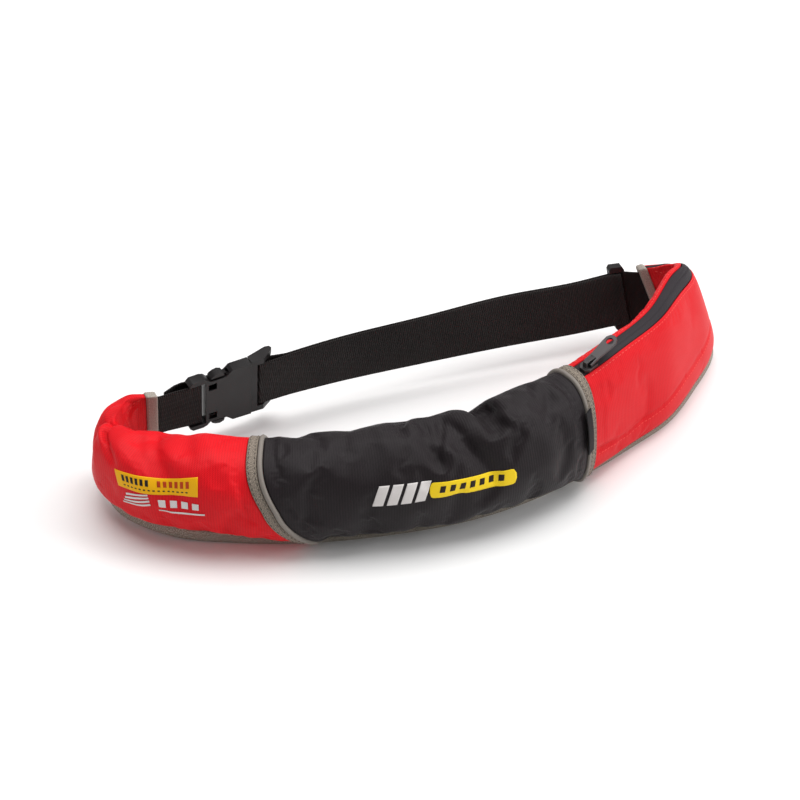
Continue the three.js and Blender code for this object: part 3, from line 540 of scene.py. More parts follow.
@dataclass(frozen=True)
class Coat:
    """What every finish shares: a colour, uneven wear, a roughness and a fine relief."""

    name: str
    colour: tuple

    def start(self, wear_size: float) -> tuple:
        """Starts the material with its uneven wear.

        Args:
            wear_size: Scale of the wear, in 1/m.

        Returns:
            The material, its Graph, the place on the object and the wear mask.
        """
        made = bpy.data.materials.new(self.name)
        made.use_nodes = True
        graph = Graph(made.node_tree)
        spot = graph.add("TexCoord").outputs["Object"]
        wear = graph.add("Group", {"Vector": spot, "Size": wear_size}, node_tree=Effects.wear())
        return made, graph, spot, wear.outputs["Soft"]

    @staticmethod
    def close(graph: Graph, colour: object, rough: object, bump: tuple, values: dict) -> None:
        """Links the finished values to the shader.

        Args:
            graph: The material's nodes.
            colour: Output for the colour.
            rough: Output for the roughness.
            bump: Output for the height, and its size in mm.
            values: Plain values of other inputs, by name.
        """
        shader = graph.tree.nodes["Principled BSDF"]
        height, relief = bump
        raised = graph.add("Bump", {"Height": height, "Distance": relief * MM}).outputs[0]
        for key, output in (("Base Color", colour), ("Roughness", rough), ("Normal", raised)):
            graph.tree.links.new(output, shader.inputs[key])
        for key, value in values.items():
            shader.inputs[key].default_value = value


# Scale of the uneven wear in 1/m, and the shader's reflectivity of cloth and of hard parts.
CLOTH_WEAR, HARD_WEAR = 22.0, 60.0
CLOTH_SPECULAR, HARD_SPECULAR = 0.15, 0.35


class Weave(Enum):
    """How a cloth is woven."""

    PLAIN = "plain"
    RIBBED = "ribbed"


@dataclass(frozen=True)
class ClothFinish(Coat):
    """Finish of a woven cloth.

    Attributes:
        name: Name of the material.
        colour: Colour of the raised threads.
        deep: Colour between the threads, which is painted shade in the grooves; the uneven wear
            also darkens towards it.
        thread: Width of a thread or rib, in mm.
        relief: Height of the weave, in mm.
        roughness: Roughness of the cloth.
        sheen: Strength of the soft sheen.
        speckle: Share of the light threads that mark a heather tape.
        weave: How it is woven.
        slant: How far the threads lean, as a share of their length.
    """

    deep: tuple
    thread: float = 0.55
    relief: float = 0.06
    roughness: float = 0.6
    sheen: float = 0.0
    speckle: float = 0.0
    weave: Weave = Weave.PLAIN
    slant: float = 0.0

    @functools.cache
    def material(self) -> bpy.types.Material:
        """Builds the material once.

        Returns:
            The material, the same one at every call.
        """
        made, graph, _, wear = self.start(CLOTH_WEAR)
        cloth = graph.add("UVMap", uv_map="cloth").outputs[0]
        given = {"Vector": cloth, "Thread": self.thread, "Slant": self.slant}
        threads = Effects.ribs() if self.weave is Weave.RIBBED else Effects.weave()
        woven = graph.add("Group", given, node_tree=threads).outputs
        # Painted shade in the grooves between threads, mixed with random tone: a low Shade gives
        # the deep colour.
        colour = graph.mix(woven["Shade"], self.deep, self.colour)
        colour = graph.mix(graph.math("MULTIPLY", wear, 0.22), colour, self.deep)
        if self.speckle:
            flecks = graph.noise(cloth, 1.6, 2.0)
            share = graph.add("MapRange", {0: flecks, 1: 0.45, 2: 0.7, 4: self.speckle}).outputs[0]
            pale = tuple(min(1.0, c * 2.1 + 0.02) for c in self.colour[:3])
            colour = graph.mix(share, colour, (*pale, 1.0))
        rough = graph.math("MULTIPLY_ADD", wear, 0.1, self.roughness - 0.05)
        values = {"Sheen Weight": self.sheen, "Sheen Roughness": 0.4,
                  "Specular IOR Level": CLOTH_SPECULAR}
        self.close(graph, colour, rough, (woven["Height"], self.relief), values)
        return made


@dataclass(frozen=True)
class HardFinish(Coat):
    """Finish of moulded plastic or painted metal.

    Attributes:
        name: Name of the material.
        colour: Colour of the part.
        worn: Colour where hands have rubbed it.
        roughness: Roughness of the surface.
        metallic: Share of metal.
        grain: Scale of the fine grain, in 1/m.
        relief: Height of the grain, in mm.
    """

    worn: tuple
    roughness: float = 0.45
    metallic: float = 0.0
    grain: float = 1400.0
    relief: float = 0.02

    @functools.cache
    def material(self) -> bpy.types.Material:
        """Builds the material once.

        Returns:
            The material, the same one at every call.
        """
        made, graph, spot, wear = self.start(HARD_WEAR)
        grain = graph.noise(spot, self.grain, 2.0)
        colour = graph.mix(graph.math("MULTIPLY", wear, 0.5), self.colour, self.worn)
        rough = graph.math("MULTIPLY_ADD", wear, 0.12, self.roughness - 0.06)
        self.close(graph, colour, rough, (grain, self.relief), {
            "Metallic": self.metallic, "Specular IOR Level": HARD_SPECULAR})
        return made


def fabric(name: str, colour: tuple, deep: tuple, *look: float, **more: object) -> ClothFinish:
    """Cloth finish by its screen colours of 0 to 255, then its values in order."""
    return ClothFinish(name, linear(*colour), linear(*deep), *look, **more)


RED_CLOTH = fabric("red nylon cloth", (240, 24, 35), (188, 9, 20), 0.8, 0.14, 0.5, slant=1.0)
BLACK_CLOTH = fabric(
    "black nylon cloth", (46, 39, 42), (14, 11, 12), 0.8, 0.14, 0.42, 0.06, slant=1.0)
GREY_TAPE = fabric("grey seam tape", (128, 118, 107), (80, 71, 63), 0.7, 0.14, 0.7, 0.05, 0.9)
# Painted light: the lower edge tape is the grey seam tape painted lighter, to make up for the shade
# it sits in along the floor.
LOWER_TAPE_LIT = fabric("grey edge tape painted lighter", (152, 144, 133), (104, 96, 87), 0.7, 0.14, 0.7, 0.05, 0.9)
END_TAPE = fabric("beige end tape", (164, 156, 147), (124, 116, 108), 0.7, 0.12, 0.7, 0.05, 0.4)
PIPING_CLOTH = fabric("light piping", (144, 137, 130), (118, 111, 105), 0.5, 0.05, 0.5)
ZIP_CLOTH = fabric("zip tape cloth", (58, 53, 57), (38, 34, 37), 0.5, 0.06)
WEBBING_CLOTH = fabric(
    "ribbed webbing", (57, 52, 51), (8, 7, 7), 1.4, 0.6, weave=Weave.RIBBED, slant=0.15)
TAG_CLOTH = fabric("black tag cloth", (36, 34, 36), (20, 18, 20), 0.4, 0.05)
PALE_THREAD = fabric("pale thread", (206, 200, 190), (160, 152, 142), 0.3, 0.05)
RED_THREAD = fabric("red thread", (250, 104, 98), (214, 62, 60), 0.3, 0.05)
DARK_THREAD = fabric("dark thread", (70, 68, 62), (46, 44, 40), 0.3, 0.05)
YELLOW_INK = fabric("amber ink", (246, 186, 20), (232, 168, 12), 0.6, 0.03, 0.5)
BRIGHT_INK = fabric("bright yellow ink", (250, 218, 44), (238, 200, 30), 0.6, 0.03, 0.5)
DARK_INK = fabric("dark ink", (48, 40, 36), (34, 28, 26), 0.55, 0.03, 0.5)
RUST_INK = fabric("rust ink", (190, 70, 24), (170, 56, 20), 0.55, 0.03, 0.5)
WHITE_INK = fabric("white ink", (230, 226, 224), (202, 196, 194), 0.55, 0.03, 0.5)
BLACK_PLASTIC = HardFinish("black moulded plastic", linear(23, 20, 21), linear(34, 31, 31), 0.4)
DARK_METAL = HardFinish(
    "dark painted metal", linear(50, 46, 47), linear(74, 69, 70), 0.34, 0.4, 700.0, 0.01)


# Meshes.


def link(name: str, data: bpy.types.ID) -> bpy.types.Object:
    """Adds an object to the scene.

    Args:
        name: Name of the object.
        data: Its mesh, light or camera.

    Returns:
        The object.
    """
    made = bpy.data.objects.new(name, data)
    bpy.context.scene.collection.objects.link(made)
    return made


class Draft:
    """Points, faces and cloth coordinates collected for one piece."""

    def __init__(self) -> None:
        """Starts empty."""
        self.points: list[np.ndarray] = []
        self.faces: list[np.ndarray] = []
        self.coords: list[np.ndarray] = []
        self.caps: list[tuple] = []
        self.count = 0

    def grid(self, points: np.ndarray, cloth: np.ndarray,
             wrap: tuple[bool, bool] = (False, False)) -> int:
        """Adds a net of points.

        Args:
            points: Points in mm, by row and column.
            cloth: Cloth coordinates in mm, one longer than the points along each wrapped side.
            wrap: Whether the rows and the columns close on themselves.

        Returns:
            Number of the net's first point.
        """
        n, m = points.shape[:2]
        rows = np.arange(n if wrap[0] else n - 1)[:, None]
        cols = np.arange(m if wrap[1] else m - 1)[None, :]
        start = self.count

        def index(i: np.ndarray, j: np.ndarray) -> np.ndarray:
            """Point number of each place in the net."""
            return (start + (i % n) * m + (j % m)).reshape(-1)

        corners = [(rows, cols), (rows + 1, cols), (rows + 1, cols + 1), (rows, cols + 1)]
        corners = [np.broadcast_arrays(i, j) for i, j in corners]
        self.faces.append(np.stack([index(i, j) for i, j in corners], -1))
        self.coords.append(np.stack([cloth[i, j].reshape(-1, 2) for i, j in corners], 1))
        self.points.append(points.reshape(-1, 3))
        self.count += n * m
        return start

    def strip(self, first: np.ndarray, second: np.ndarray, closed: bool) -> None:
        """Joins two rows of points with a strip of faces.

        Args:
            first: Numbers of the points of one row.
            second: Numbers of those of the other.
            closed: Whether the rows close on themselves.
        """
        order = np.arange(len(first) if closed else len(first) - 1)
        after = (order + 1) % len(first)
        quads = np.stack([first[order], first[after], second[after], second[order]], -1)
        self.faces.append(quads)
        flat = np.zeros((len(quads), 4, 2))
        flat[:, :, 0] = order[:, None] + np.array([0, 1, 1, 0])
        flat[:, 2:, 1] = 1.0
        self.coords.append(flat)

    def close_tube(self, sides: int) -> None:
        """Closes both ends of the one tube that the draft holds."""
        last = self.count - sides
        self.caps += [tuple(range(sides)), tuple(range(last, last + sides))]

    def build(self, name: str, finish: ClothFinish) -> bpy.types.Object:
        """Makes the smoothly shaded object, at the origin.

        Args:
            name: Name of the object.
            finish: Its finish.

        Returns:
            The object.
        """
        points = (np.concatenate(self.points) - CENTRE) * MM
        faces = [tuple(row) for block in self.faces for row in block.tolist()] + self.caps
        mesh = bpy.data.meshes.new(name)
        mesh.from_pydata(points.tolist(), [], faces)
        coords = np.concatenate([block.reshape(-1, 2) for block in self.coords])
        layer = mesh.uv_layers.new(name="cloth")
        flat = np.zeros((len(mesh.loops), 2), np.float32)
        flat[: len(coords)] = coords
        layer.data.foreach_set("uv", flat.ravel())
        made = link(name, mesh)
        mesh.materials.append(finish.material())
        work = bmesh.new()
        work.from_mesh(mesh)
        bmesh.ops.recalc_face_normals(work, faces=work.faces)
        work.to_mesh(mesh)
        work.free()
        mesh.polygons.foreach_set("use_smooth", [True] * len(mesh.polygons))
        mesh.update()
        return made


def arc_coords(points: np.ndarray, distance: np.ndarray, wrap: bool) -> np.ndarray:
    """Cloth coordinates of a net in mm: along the belt, and round it by real length.

    Args:
        points: Points of the net, in mm.
        distance: Distance along the belt of each.
        wrap: Whether the net closes round the pouch.

    Returns:
        Coordinates of every point.
    """
    if wrap:
        points = np.concatenate([points, points[:, :1]], 1)
        distance = np.concatenate([distance, distance[:, :1]], 1)
    steps = np.linalg.norm(np.diff(points, axis=1), axis=-1).mean(0)
    arc = running(steps)
    return np.stack([distance, np.broadcast_to(arc, distance.shape)], -1)


def normals_of(points: np.ndarray, wrap: bool) -> np.ndarray:
    """Unit normals of a net, facing out of the pouch.

    Args:
        points: Points of the net, in mm.
        wrap: Whether the net closes round the pouch.

    Returns:
        Normal at every point.
    """
    if wrap:
        round_way = np.roll(points, -1, 1) - np.roll(points, 1, 1)
    else:
        round_way = np.gradient(points, axis=1)
    return unit(np.cross(np.gradient(points, axis=0), round_way))


def finer(values: np.ndarray, axis: int, wrap: bool) -> np.ndarray:
    """Values of a net with one more point between every two along one axis.

    Args:
        values: Values of the net's points.
        axis: Axis along which points are added.
        wrap: Whether the net closes along it.

    Returns:
        Values of the finer net.
    """
    v = np.moveaxis(values, axis, 0)
    if wrap:
        wide = np.concatenate([v[-1:], v, v[:2]])
    else:
        wide = np.concatenate([2 * v[:1] - v[1:2], v, 2 * v[-1:] - v[-2:-1]])
    between = (9 * (wide[1:-2] + wide[2:-1]) - wide[:-3] - wide[3:]) / 16
    made = np.empty((len(v) + len(between), *v.shape[1:]))
    made[0::2], made[1::2] = v, between
    return np.moveaxis(made, 0, axis)


@dataclass
class Net:
    """Even net of points on the outer face of a piece of the pouch's cloth.

    Attributes:
        start: Seam where it starts, by turn.
        end: Seam where it ends, by turn.
        low: First turn at each share of the way along.
        high: Last turn at each share of the way along.
        size: Number of steps along and round.
        ring: Whether it closes round the pouch.
        grow: How far outside the skin it lies, by turn.
    """

    start: Callable
    end: Callable
    low: Callable
    high: Callable
    size: tuple[int, int]
    ring: bool = False
    grow: Callable = field(default=lambda turn: 0.0 * turn)

    END_TAPER = 0.45

    def __post_init__(self) -> None:
        """Lays the net on the skin."""
        self.lay()
        self.points = SKIN.point(self.distance, self.turn, self.grow(self.turn))
        self.inner = SKIN.point(self.distance, self.turn, self.grow(self.turn) - CLOTH)

    def lay(self) -> None:
        """Works out the place and turn of every point."""
        n, m = self.size
        i = np.linspace(0, 1, n + 1)[:, None]
        j = (np.arange(m) / m if self.ring else np.linspace(0, 1, m + 1))[None, :]
        self.turn = self.low(i) + (self.high(i) - self.low(i)) * j
        self.distance = self.start(self.turn) + (self.end(self.turn) - self.start(self.turn)) * i
        self.across = j + 0.0 * i
        self.along = i + 0.0 * j

    def refine(self) -> None:
        """Halves the net's spacing with smooth curves through its points."""
        faces = (self.points, self.inner)
        self.points, self.inner = (finer(finer(face, 0, False), 1, self.ring) for face in faces)
        self.size = (2 * self.size[0], 2 * self.size[1])
        self.lay()

    def crease(self, rows: tuple, fade: np.ndarray) -> None:
        """Presses sharp creases in, or raises ridges.

        Args:
            rows: Place in mm and turn of both ends, half-width and depth in mm (ridges below zero).
            fade: Share of each crease that is left at every point.
        """
        total = np.zeros(self.turn.shape)
        for s0, turn0, s1, turn1, reach, depth in rows:
            x, y = self.distance - s0, (self.turn - turn0) * LEVEL_SPREAD
            dx, dy = s1 - s0, (turn1 - turn0) * LEVEL_SPREAD
            t = np.clip((x * dx + y * dy) / (dx * dx + dy * dy), 0, 1)
            taper = 1.0 - self.END_TAPER * np.abs(2 * t - 1) ** 2
            total += depth * taper * np.exp(-((x - t * dx) ** 2 + (y - t * dy) ** 2) / reach**2)
        self.move(-normals_of(self.points, self.ring) * (total * fade)[..., None])

    def tuck(self, turn: float, reach: float, depth: float, fade: np.ndarray | float = 1.0) -> None:
        """Presses a furrow in along one turn, reach in degrees and depth in mm."""
        push = depth * np.exp(-(((self.turn - turn) / reach) ** 2)) * fade
        self.move(-normals_of(self.points, self.ring) * push[..., None])

    def seam_distance(self) -> np.ndarray:
        """Distance of every point from the nearer seam, in mm."""
        width = self.end(self.turn) - self.start(self.turn)
        return np.minimum(self.along, 1 - self.along) * width

    def move(self, shift: np.ndarray) -> None:
        """Moves both faces of the cloth by the same shift."""
        self.points = self.points + shift
        self.inner = self.inner + shift

    def sample(self, distance: np.ndarray, turn: np.ndarray) -> tuple[np.ndarray, np.ndarray]:
        """Looks the finished cloth up between its points.

        Args:
            distance: Distance along the pouch, in mm.
            turn: Turn round the pouch, in degrees.

        Returns:
            Points in mm, and unit normals.
        """
        n, m = self.size
        i = (distance - self.start(turn)) / (self.end(turn) - self.start(turn))
        j = (turn - self.low(i)) / (self.high(i) - self.low(i))
        x = np.clip(i * n, 0, n - 1e-6)
        y = j * m % m if self.ring else np.clip(j * m, 0, m - 1e-6)
        x0, y0 = x.astype(int), y.astype(int)
        fx, fy = (x - x0)[..., None], (y - y0)[..., None]
        y1 = (y0 + 1) % m if self.ring else y0 + 1

        def blend(values: np.ndarray) -> np.ndarray:
            """Value between the four nearest points.

            Args:
                values: Values of the net's points.

            Returns:
                Values at the places.
            """
            near = values[x0, y0] * (1 - fy) + values[x0, y1] * fy
            far = values[x0 + 1, y0] * (1 - fy) + values[x0 + 1, y1] * fy
            return near * (1 - fx) + far * fx

        return blend(self.points), unit(blend(normals_of(self.points, self.ring)))

    def build(self, name: str, finish: ClothFinish) -> bpy.types.Object:
        """Makes the closed piece of cloth, outer and inner face joined at the rims.

        Args:
            name: Name of the object.
            finish: Its finish.

        Returns:
            The object.
        """
        draft = Draft()
        n, m = self.points.shape[:2]
        coords = arc_coords(self.points, self.distance, self.ring)
        outer = draft.grid(self.points, coords, (False, self.ring))
        inner = draft.grid(self.inner, coords, (False, self.ring))
        ids = np.arange(n * m).reshape(n, m)
        for row in (ids[0], ids[-1]):
            draft.strip(outer + row, inner + row, self.ring)
        if not self.ring:
            for row in (ids[:, 0], ids[:, -1]):
                draft.strip(outer + row, inner + row, False)
        return draft.build(name, finish)


@dataclass(frozen=True)
class Slack:
    """How a piece of cloth settles over what is packed in it.

    Attributes:
        pressure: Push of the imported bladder.
        growth: Share by which the cloth is cut larger than the space it covers.
        most: Greatest movement of a point, in mm.
        frames: Number of steps of the simulation.
        bending: Stiffness against bending.
        stretch: Stiffness against stretching and pressing together.
        shear: Stiffness against shearing.
        mass: Mass of each point, in kg.
        quality: Steps of the solver in each frame.
    """

    pressure: float = 2.0
    growth: float = 0.02
    most: float = 3.5
    frames: int = 20
    bending: float = 1.5
    stretch: float = 12
    shear: float = 5
    mass: float = 0.15
    quality: int = 6

    def settle(self, net: Net, held: np.ndarray) -> None:
        """Simulates the cloth of a net and moves the net to where it settles.

        Args:
            net: The cloth.
            held: How firmly each point is held, from 0 to 1.
        """
        draft = Draft()
        draft.grid(net.points, arc_coords(net.points, net.distance, net.ring), (False, net.ring))
        probe = draft.build("settling_cloth", RED_CLOTH)
        group = probe.vertex_groups.new(name="held")
        for number, weight in enumerate(held.ravel().tolist()):
            if weight > 0:
                group.add([number], weight, "REPLACE")
        cloth = probe.modifiers.new("Cloth", "CLOTH")
        settings = cloth.settings
        settings.quality = self.quality
        settings.mass = self.mass
        settings.tension_stiffness = settings.compression_stiffness = self.stretch
        settings.shear_stiffness = self.shear
        settings.bending_stiffness = self.bending
        settings.vertex_group_mass = "held"
        settings.shrink_min = -self.growth
        settings.use_pressure = True
        settings.uniform_pressure_force = self.pressure
        settings.effector_weights.gravity = 0
        cloth.point_cache.frame_end = self.frames
        scene = bpy.context.scene
        for step in range(1, self.frames + 1):
            scene.frame_set(step)
        settled = probe.evaluated_get(bpy.context.evaluated_depsgraph_get())
        flat = np.zeros(len(settled.data.vertices) * 3)
        settled.data.vertices.foreach_get("co", flat)
        scene.frame_set(1)
        shift = flat.reshape(net.points.shape) / MM + CENTRE - net.points
        length = np.linalg.norm(shift, axis=-1, keepdims=True)
        LOG.info("cloth moved %.1f mm on average, %.1f mm at most", length.mean(), length.max())
        shift *= np.minimum(1.0, self.most / np.maximum(length, 1e-9))
        net.move(shift * (1.0 - held[..., None]))
        bpy.data.objects.remove(probe)


def ring_band(seam: Callable, profile: np.ndarray, name: str,
              finish: ClothFinish) -> bpy.types.Object:
    """Builds a band round the pouch from a seam.

    Args:
        seam: Where it starts, by turn.
        profile: Closed profile of distance and lift in mm; lifts fade at the lower edge.
        name: Name of the piece.
        finish: Its finish.

    Returns:
        The piece.
    """
    turn = (-90 + 360 * np.arange(BAND_STEPS) / BAND_STEPS)[:, None]
    along, lift = profile[None, :, 0], profile[None, :, 1]
    grow = np.where(lift > 0, lift * proud(1.0)(turn), lift)
    points = SKIN.point(seam(turn) + along, turn, grow)
    arc = running(np.linalg.norm(points - np.roll(points, -1, 0), axis=-1).mean(1))
    closed = np.concatenate([profile, profile[:1]])
    edge = running(np.linalg.norm(np.diff(closed, axis=0), axis=1))
    cloth = np.stack(np.broadcast_arrays(edge[None, :], arc[:, None]), -1)
    draft = Draft()
    draft.grid(points, cloth, (True, True))
    return draft.build(name, finish)


def tape_profile(width: float, lift: float, soft: float = 0.5) -> np.ndarray:
    """Section of a flat seam tape with rounded top edges.

    Args:
        width: Width of the tape, in mm.
        lift: How far it stands proud, in mm.
        soft: Width over which an edge is rounded, in mm.

    Returns:
        Closed profile of distance and lift.
    """
    rows = [(0, -CLOTH), (0, lift * 0.3), (soft * 0.3, lift * 0.75), (soft, lift)]
    bulge, shares = 0.12, (0.2, 0.35, 0.5, 0.65, 0.8)
    middle = [(width * t, lift + bulge * math.sin(math.pi * t)) for t in shares]
    other = [(width - x, y) for x, y in reversed(rows)]
    return np.array(rows + middle + other)


def cord_profile(width: float, lift: float) -> np.ndarray:
    """Section of a round cord sewn in a seam.

    Args:
        width: Width of the cord, in mm.
        lift: How far it stands proud, in mm.

    Returns:
        Closed profile of distance and lift.
    """
    rows = [(0.0, -CLOTH), (0.0, 0.1)]
    for k in range(1, 12):
        angle = math.pi * k / 12
        up = 0.1 + (lift - 0.1) * math.sin(angle) ** 0.8
        rows.append((width / 2 * (1 - math.cos(angle)), up))
    return np.array([*rows, (width, 0.1), (width, -CLOTH)])


class Stitching:
    """Rows of thread stitches, each stitch a small rounded bar."""

    SIDES = 6

    def __init__(self, length: float = 2.4, gap: float = 1.1, radius: float = 0.26) -> None:
        """Shapes one stitch.

        Args:
            length: Length of a stitch, in mm.
            gap: Gap to the next, in mm.
            radius: Radius of the thread, in mm.
        """
        self.length, self.gap, self.radius = length, gap, radius
        self.draft = Draft()
        rings = ((-0.5, 0.0, -0.9), (-0.44, 0.75, -0.5), (-0.25, 1.0, 0.1), (0.25, 1.0, 0.1),
                 (0.44, 0.75, -0.5), (0.5, 0.0, -0.9))
        around = 2 * math.pi * np.arange(self.SIDES) / self.SIDES
        self.template = np.array([
            [(x * length, wide * radius * math.cos(a), wide * radius * math.sin(a) + sink * radius)
             for a in around] for x, wide, sink in rings])

    def row(self, points: np.ndarray, normals: np.ndarray) -> "Stitching":
        """Sews along a line.

        Args:
            points: Points of the line, in mm.
            normals: Unit normal at each point.

        Returns:
            This stitching.
        """
        steps = np.linalg.norm(np.diff(points, axis=0), axis=1)
        run = running(steps)
        pitch = self.length + self.gap
        count = max(int(run[-1] / pitch), 1)
        centres = (np.arange(count) + 0.5) * run[-1] / count

        def along(values: np.ndarray, at: np.ndarray) -> np.ndarray:
            """Values at distances along the line."""
            return np.stack([np.interp(at, run, values[:, k]) for k in range(3)], -1)

        middle = along(points, centres)
        way = unit(along(points, centres + 0.6) - along(points, centres - 0.6))
        side = unit(np.cross(along(normals, centres), way))
        up = np.cross(way, side)
        rings, sides = self.template.shape[:2]
        lines = np.arange(rings) * 0.5, np.arange(sides + 1) * 0.3
        cloth = np.stack(np.meshgrid(*lines, indexing="ij"), -1)
        for k in range(count):
            axes = np.stack([way[k], side[k], up[k]])
            self.draft.grid(middle[k] + self.template @ axes, cloth, (False, True))
        return self

    def on_skin(self, distance: np.ndarray, turn: np.ndarray, lift: np.ndarray) -> "Stitching":
        """Sews along a line on the skin.

        Args:
            distance: Distance along the pouch, in mm.
            turn: Turn round the pouch, in degrees.
            lift: Height over the skin, in mm.

        Returns:
            This stitching.
        """
        points = SKIN.point(distance, turn, lift)
        ahead = SKIN.point(distance + 0.5, turn, lift) - SKIN.point(distance - 0.5, turn, lift)
        round_way = SKIN.point(distance, turn + 0.5, lift) - SKIN.point(distance, turn - 0.5, lift)
        return self.row(points, unit(np.cross(ahead, round_way)))

    def build(self, name: str, finish: ClothFinish) -> bpy.types.Object:
        """Makes the piece that holds all the rows."""
        return self.draft.build(name, finish)


def dress(piece: bpy.types.Object, slot: str, *nodes: str, body: str = BODY) -> bpy.types.Object:
    """Ties a piece to the frame.

    Args:
        piece: The piece.
        slot: Its material slot; not used.
        nodes: Names of the solids that it stands for.
        body: Body that it rides on.

    Returns:
        The piece.
    """
    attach(piece, body)
    if nodes:
        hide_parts(*nodes)
    LOG.info("piece %s: %d points", piece.name, len(piece.data.vertices))
    return piece


def rim_hold(net: Net, ends: float, edge: float) -> np.ndarray:
    """How firmly sewn rims hold a net.

    Args:
        net: The cloth.
        ends: Reach from the seams, in mm.
        edge: Reach from the lower edge, in degrees.

    Returns:
        From 0 where it is free to 1 at a rim.
    """
    held = 1 - ease((net.seam_distance() - 1.0) / ends)
    low = np.minimum(np.abs(net.turn + 90), np.abs(net.turn - 270))
    return np.maximum(held, 1 - ease((low - 12.0) / edge))


def ripple(net: Net, seed: int, length: float, height: float) -> np.ndarray:
    """Seeded uneven waves over a net.

    Args:
        net: The cloth.
        seed: Seed of the draws.
        length: Usual length, in mm.
        height: Usual height, in mm.

    Returns:
        Height of the waves at every point.
    """
    draw = np.random.default_rng(seed)
    total = np.zeros(net.turn.shape)
    for _ in range(14):
        angle, size = draw.uniform(0, math.pi), length * draw.uniform(0.7, 1.8)
        x = net.distance * math.cos(angle) + net.turn * LEVEL_SPREAD * math.sin(angle)
        total += np.sin(2 * math.pi * x / size + draw.uniform(0, 6.28)) * draw.uniform(0.4, 1.0)
    return total * height / 3.0


def settle_panel(net: Net, held: np.ndarray, waves: tuple, slack: Slack) -> None:
    """Ripples a net, lets its cloth settle and refines it.

    Args:
        net: The cloth.
        held: How firmly each point is held, from 0 to 1.
        waves: Seed, usual length and usual height of its small ripples, in mm.
        slack: How the cloth settles.
    """
    bumps = ripple(net, *waves) * (1 - held)
    net.move(normals_of(net.points, net.ring) * bumps[..., None])
    slack.settle(net, held)
    net.refine()


@dataclass
class Covers:
    """Cloth covers of the two padded sections.

    Attributes:
        step: Spacing of the cloth's points along the pouch, in mm.
        around: Number of steps round.
        held: How far the rims hold: from the seams in mm, from the lower edge in degrees.
        ripples: Usual length and height of the small ripples, in mm.
        furrow: Turn and reach of the furrow over the lower edge, in degrees.
        furrow_fade: Distance from the seams over which the furrow fades, in mm.
        crease_fade: Distance from the seams over which the creases fade, in mm.
    """

    step: float = 2.2
    around: int = 104
    held: tuple[float, float] = (9.0, 40.0)
    ripples: tuple[float, float] = (24.0, 0.45)
    furrow: tuple[float, float] = (-65.0, 18.0)
    furrow_fade: float = 8.0
    crease_fade: float = 7.0

    def ring(self, start: Callable, end: Callable) -> Net:
        """Lays a net right round the pouch.

        Args:
            start: Seam where it starts.
            end: Seam where it ends.

        Returns:
            The net.
        """
        width = float(np.max(end(np.array([0.0])) - start(np.array([0.0]))))
        size = (max(int(width / self.step), 4), self.around)
        return Net(start, end, fixed(-90.0), fixed(270.0), size, True)

    def cover(self, name: str, net: Net, finish: ClothFinish, slot: str, seed: int, deep: float,
              creases: tuple) -> Net:
        """Builds one padded cover.

        Args:
            name: Name of the solid that it stands for.
            net: Where it lies.
            finish: Its finish.
            slot: Its material slot.
            seed: Seed of its small ripples.
            deep: Depth of the furrow over the lower edge, in mm.
            creases: Its sharp creases.

        Returns:
            The finished net, for what is sewn or printed on it.
        """
        settle_panel(net, rim_hold(net, *self.held), (seed, *self.ripples), Slack())
        away = net.seam_distance()
        net.tuck(*self.furrow, deep, ease(away / self.furrow_fade))
        net.crease(creases, ease(away / self.crease_fade))
        piece = net.build(f"{name}_cloth", finish)
        dress(piece, slot, name)
        return net

    def build(self) -> tuple[Net, Net]:
        """Builds both covers.

        Returns:
            Nets of the left and the middle cover.
        """
        left = self.ring(fixed(END_BAND_WIDTH + GAP), shifted(left_seam, -GAP))
        middle = self.ring(shifted(left_seam, PIPING_IN + GAP), shifted(right_seam, -GAP))
        self.cover("left_cover", left, RED_CLOTH, "red_cloth", 11, 2.2, LEFT_CREASES)
        self.cover("middle_cover", middle, BLACK_CLOTH, "black_cloth", 23, 5.2, MIDDLE_CREASES)
        return left, middle


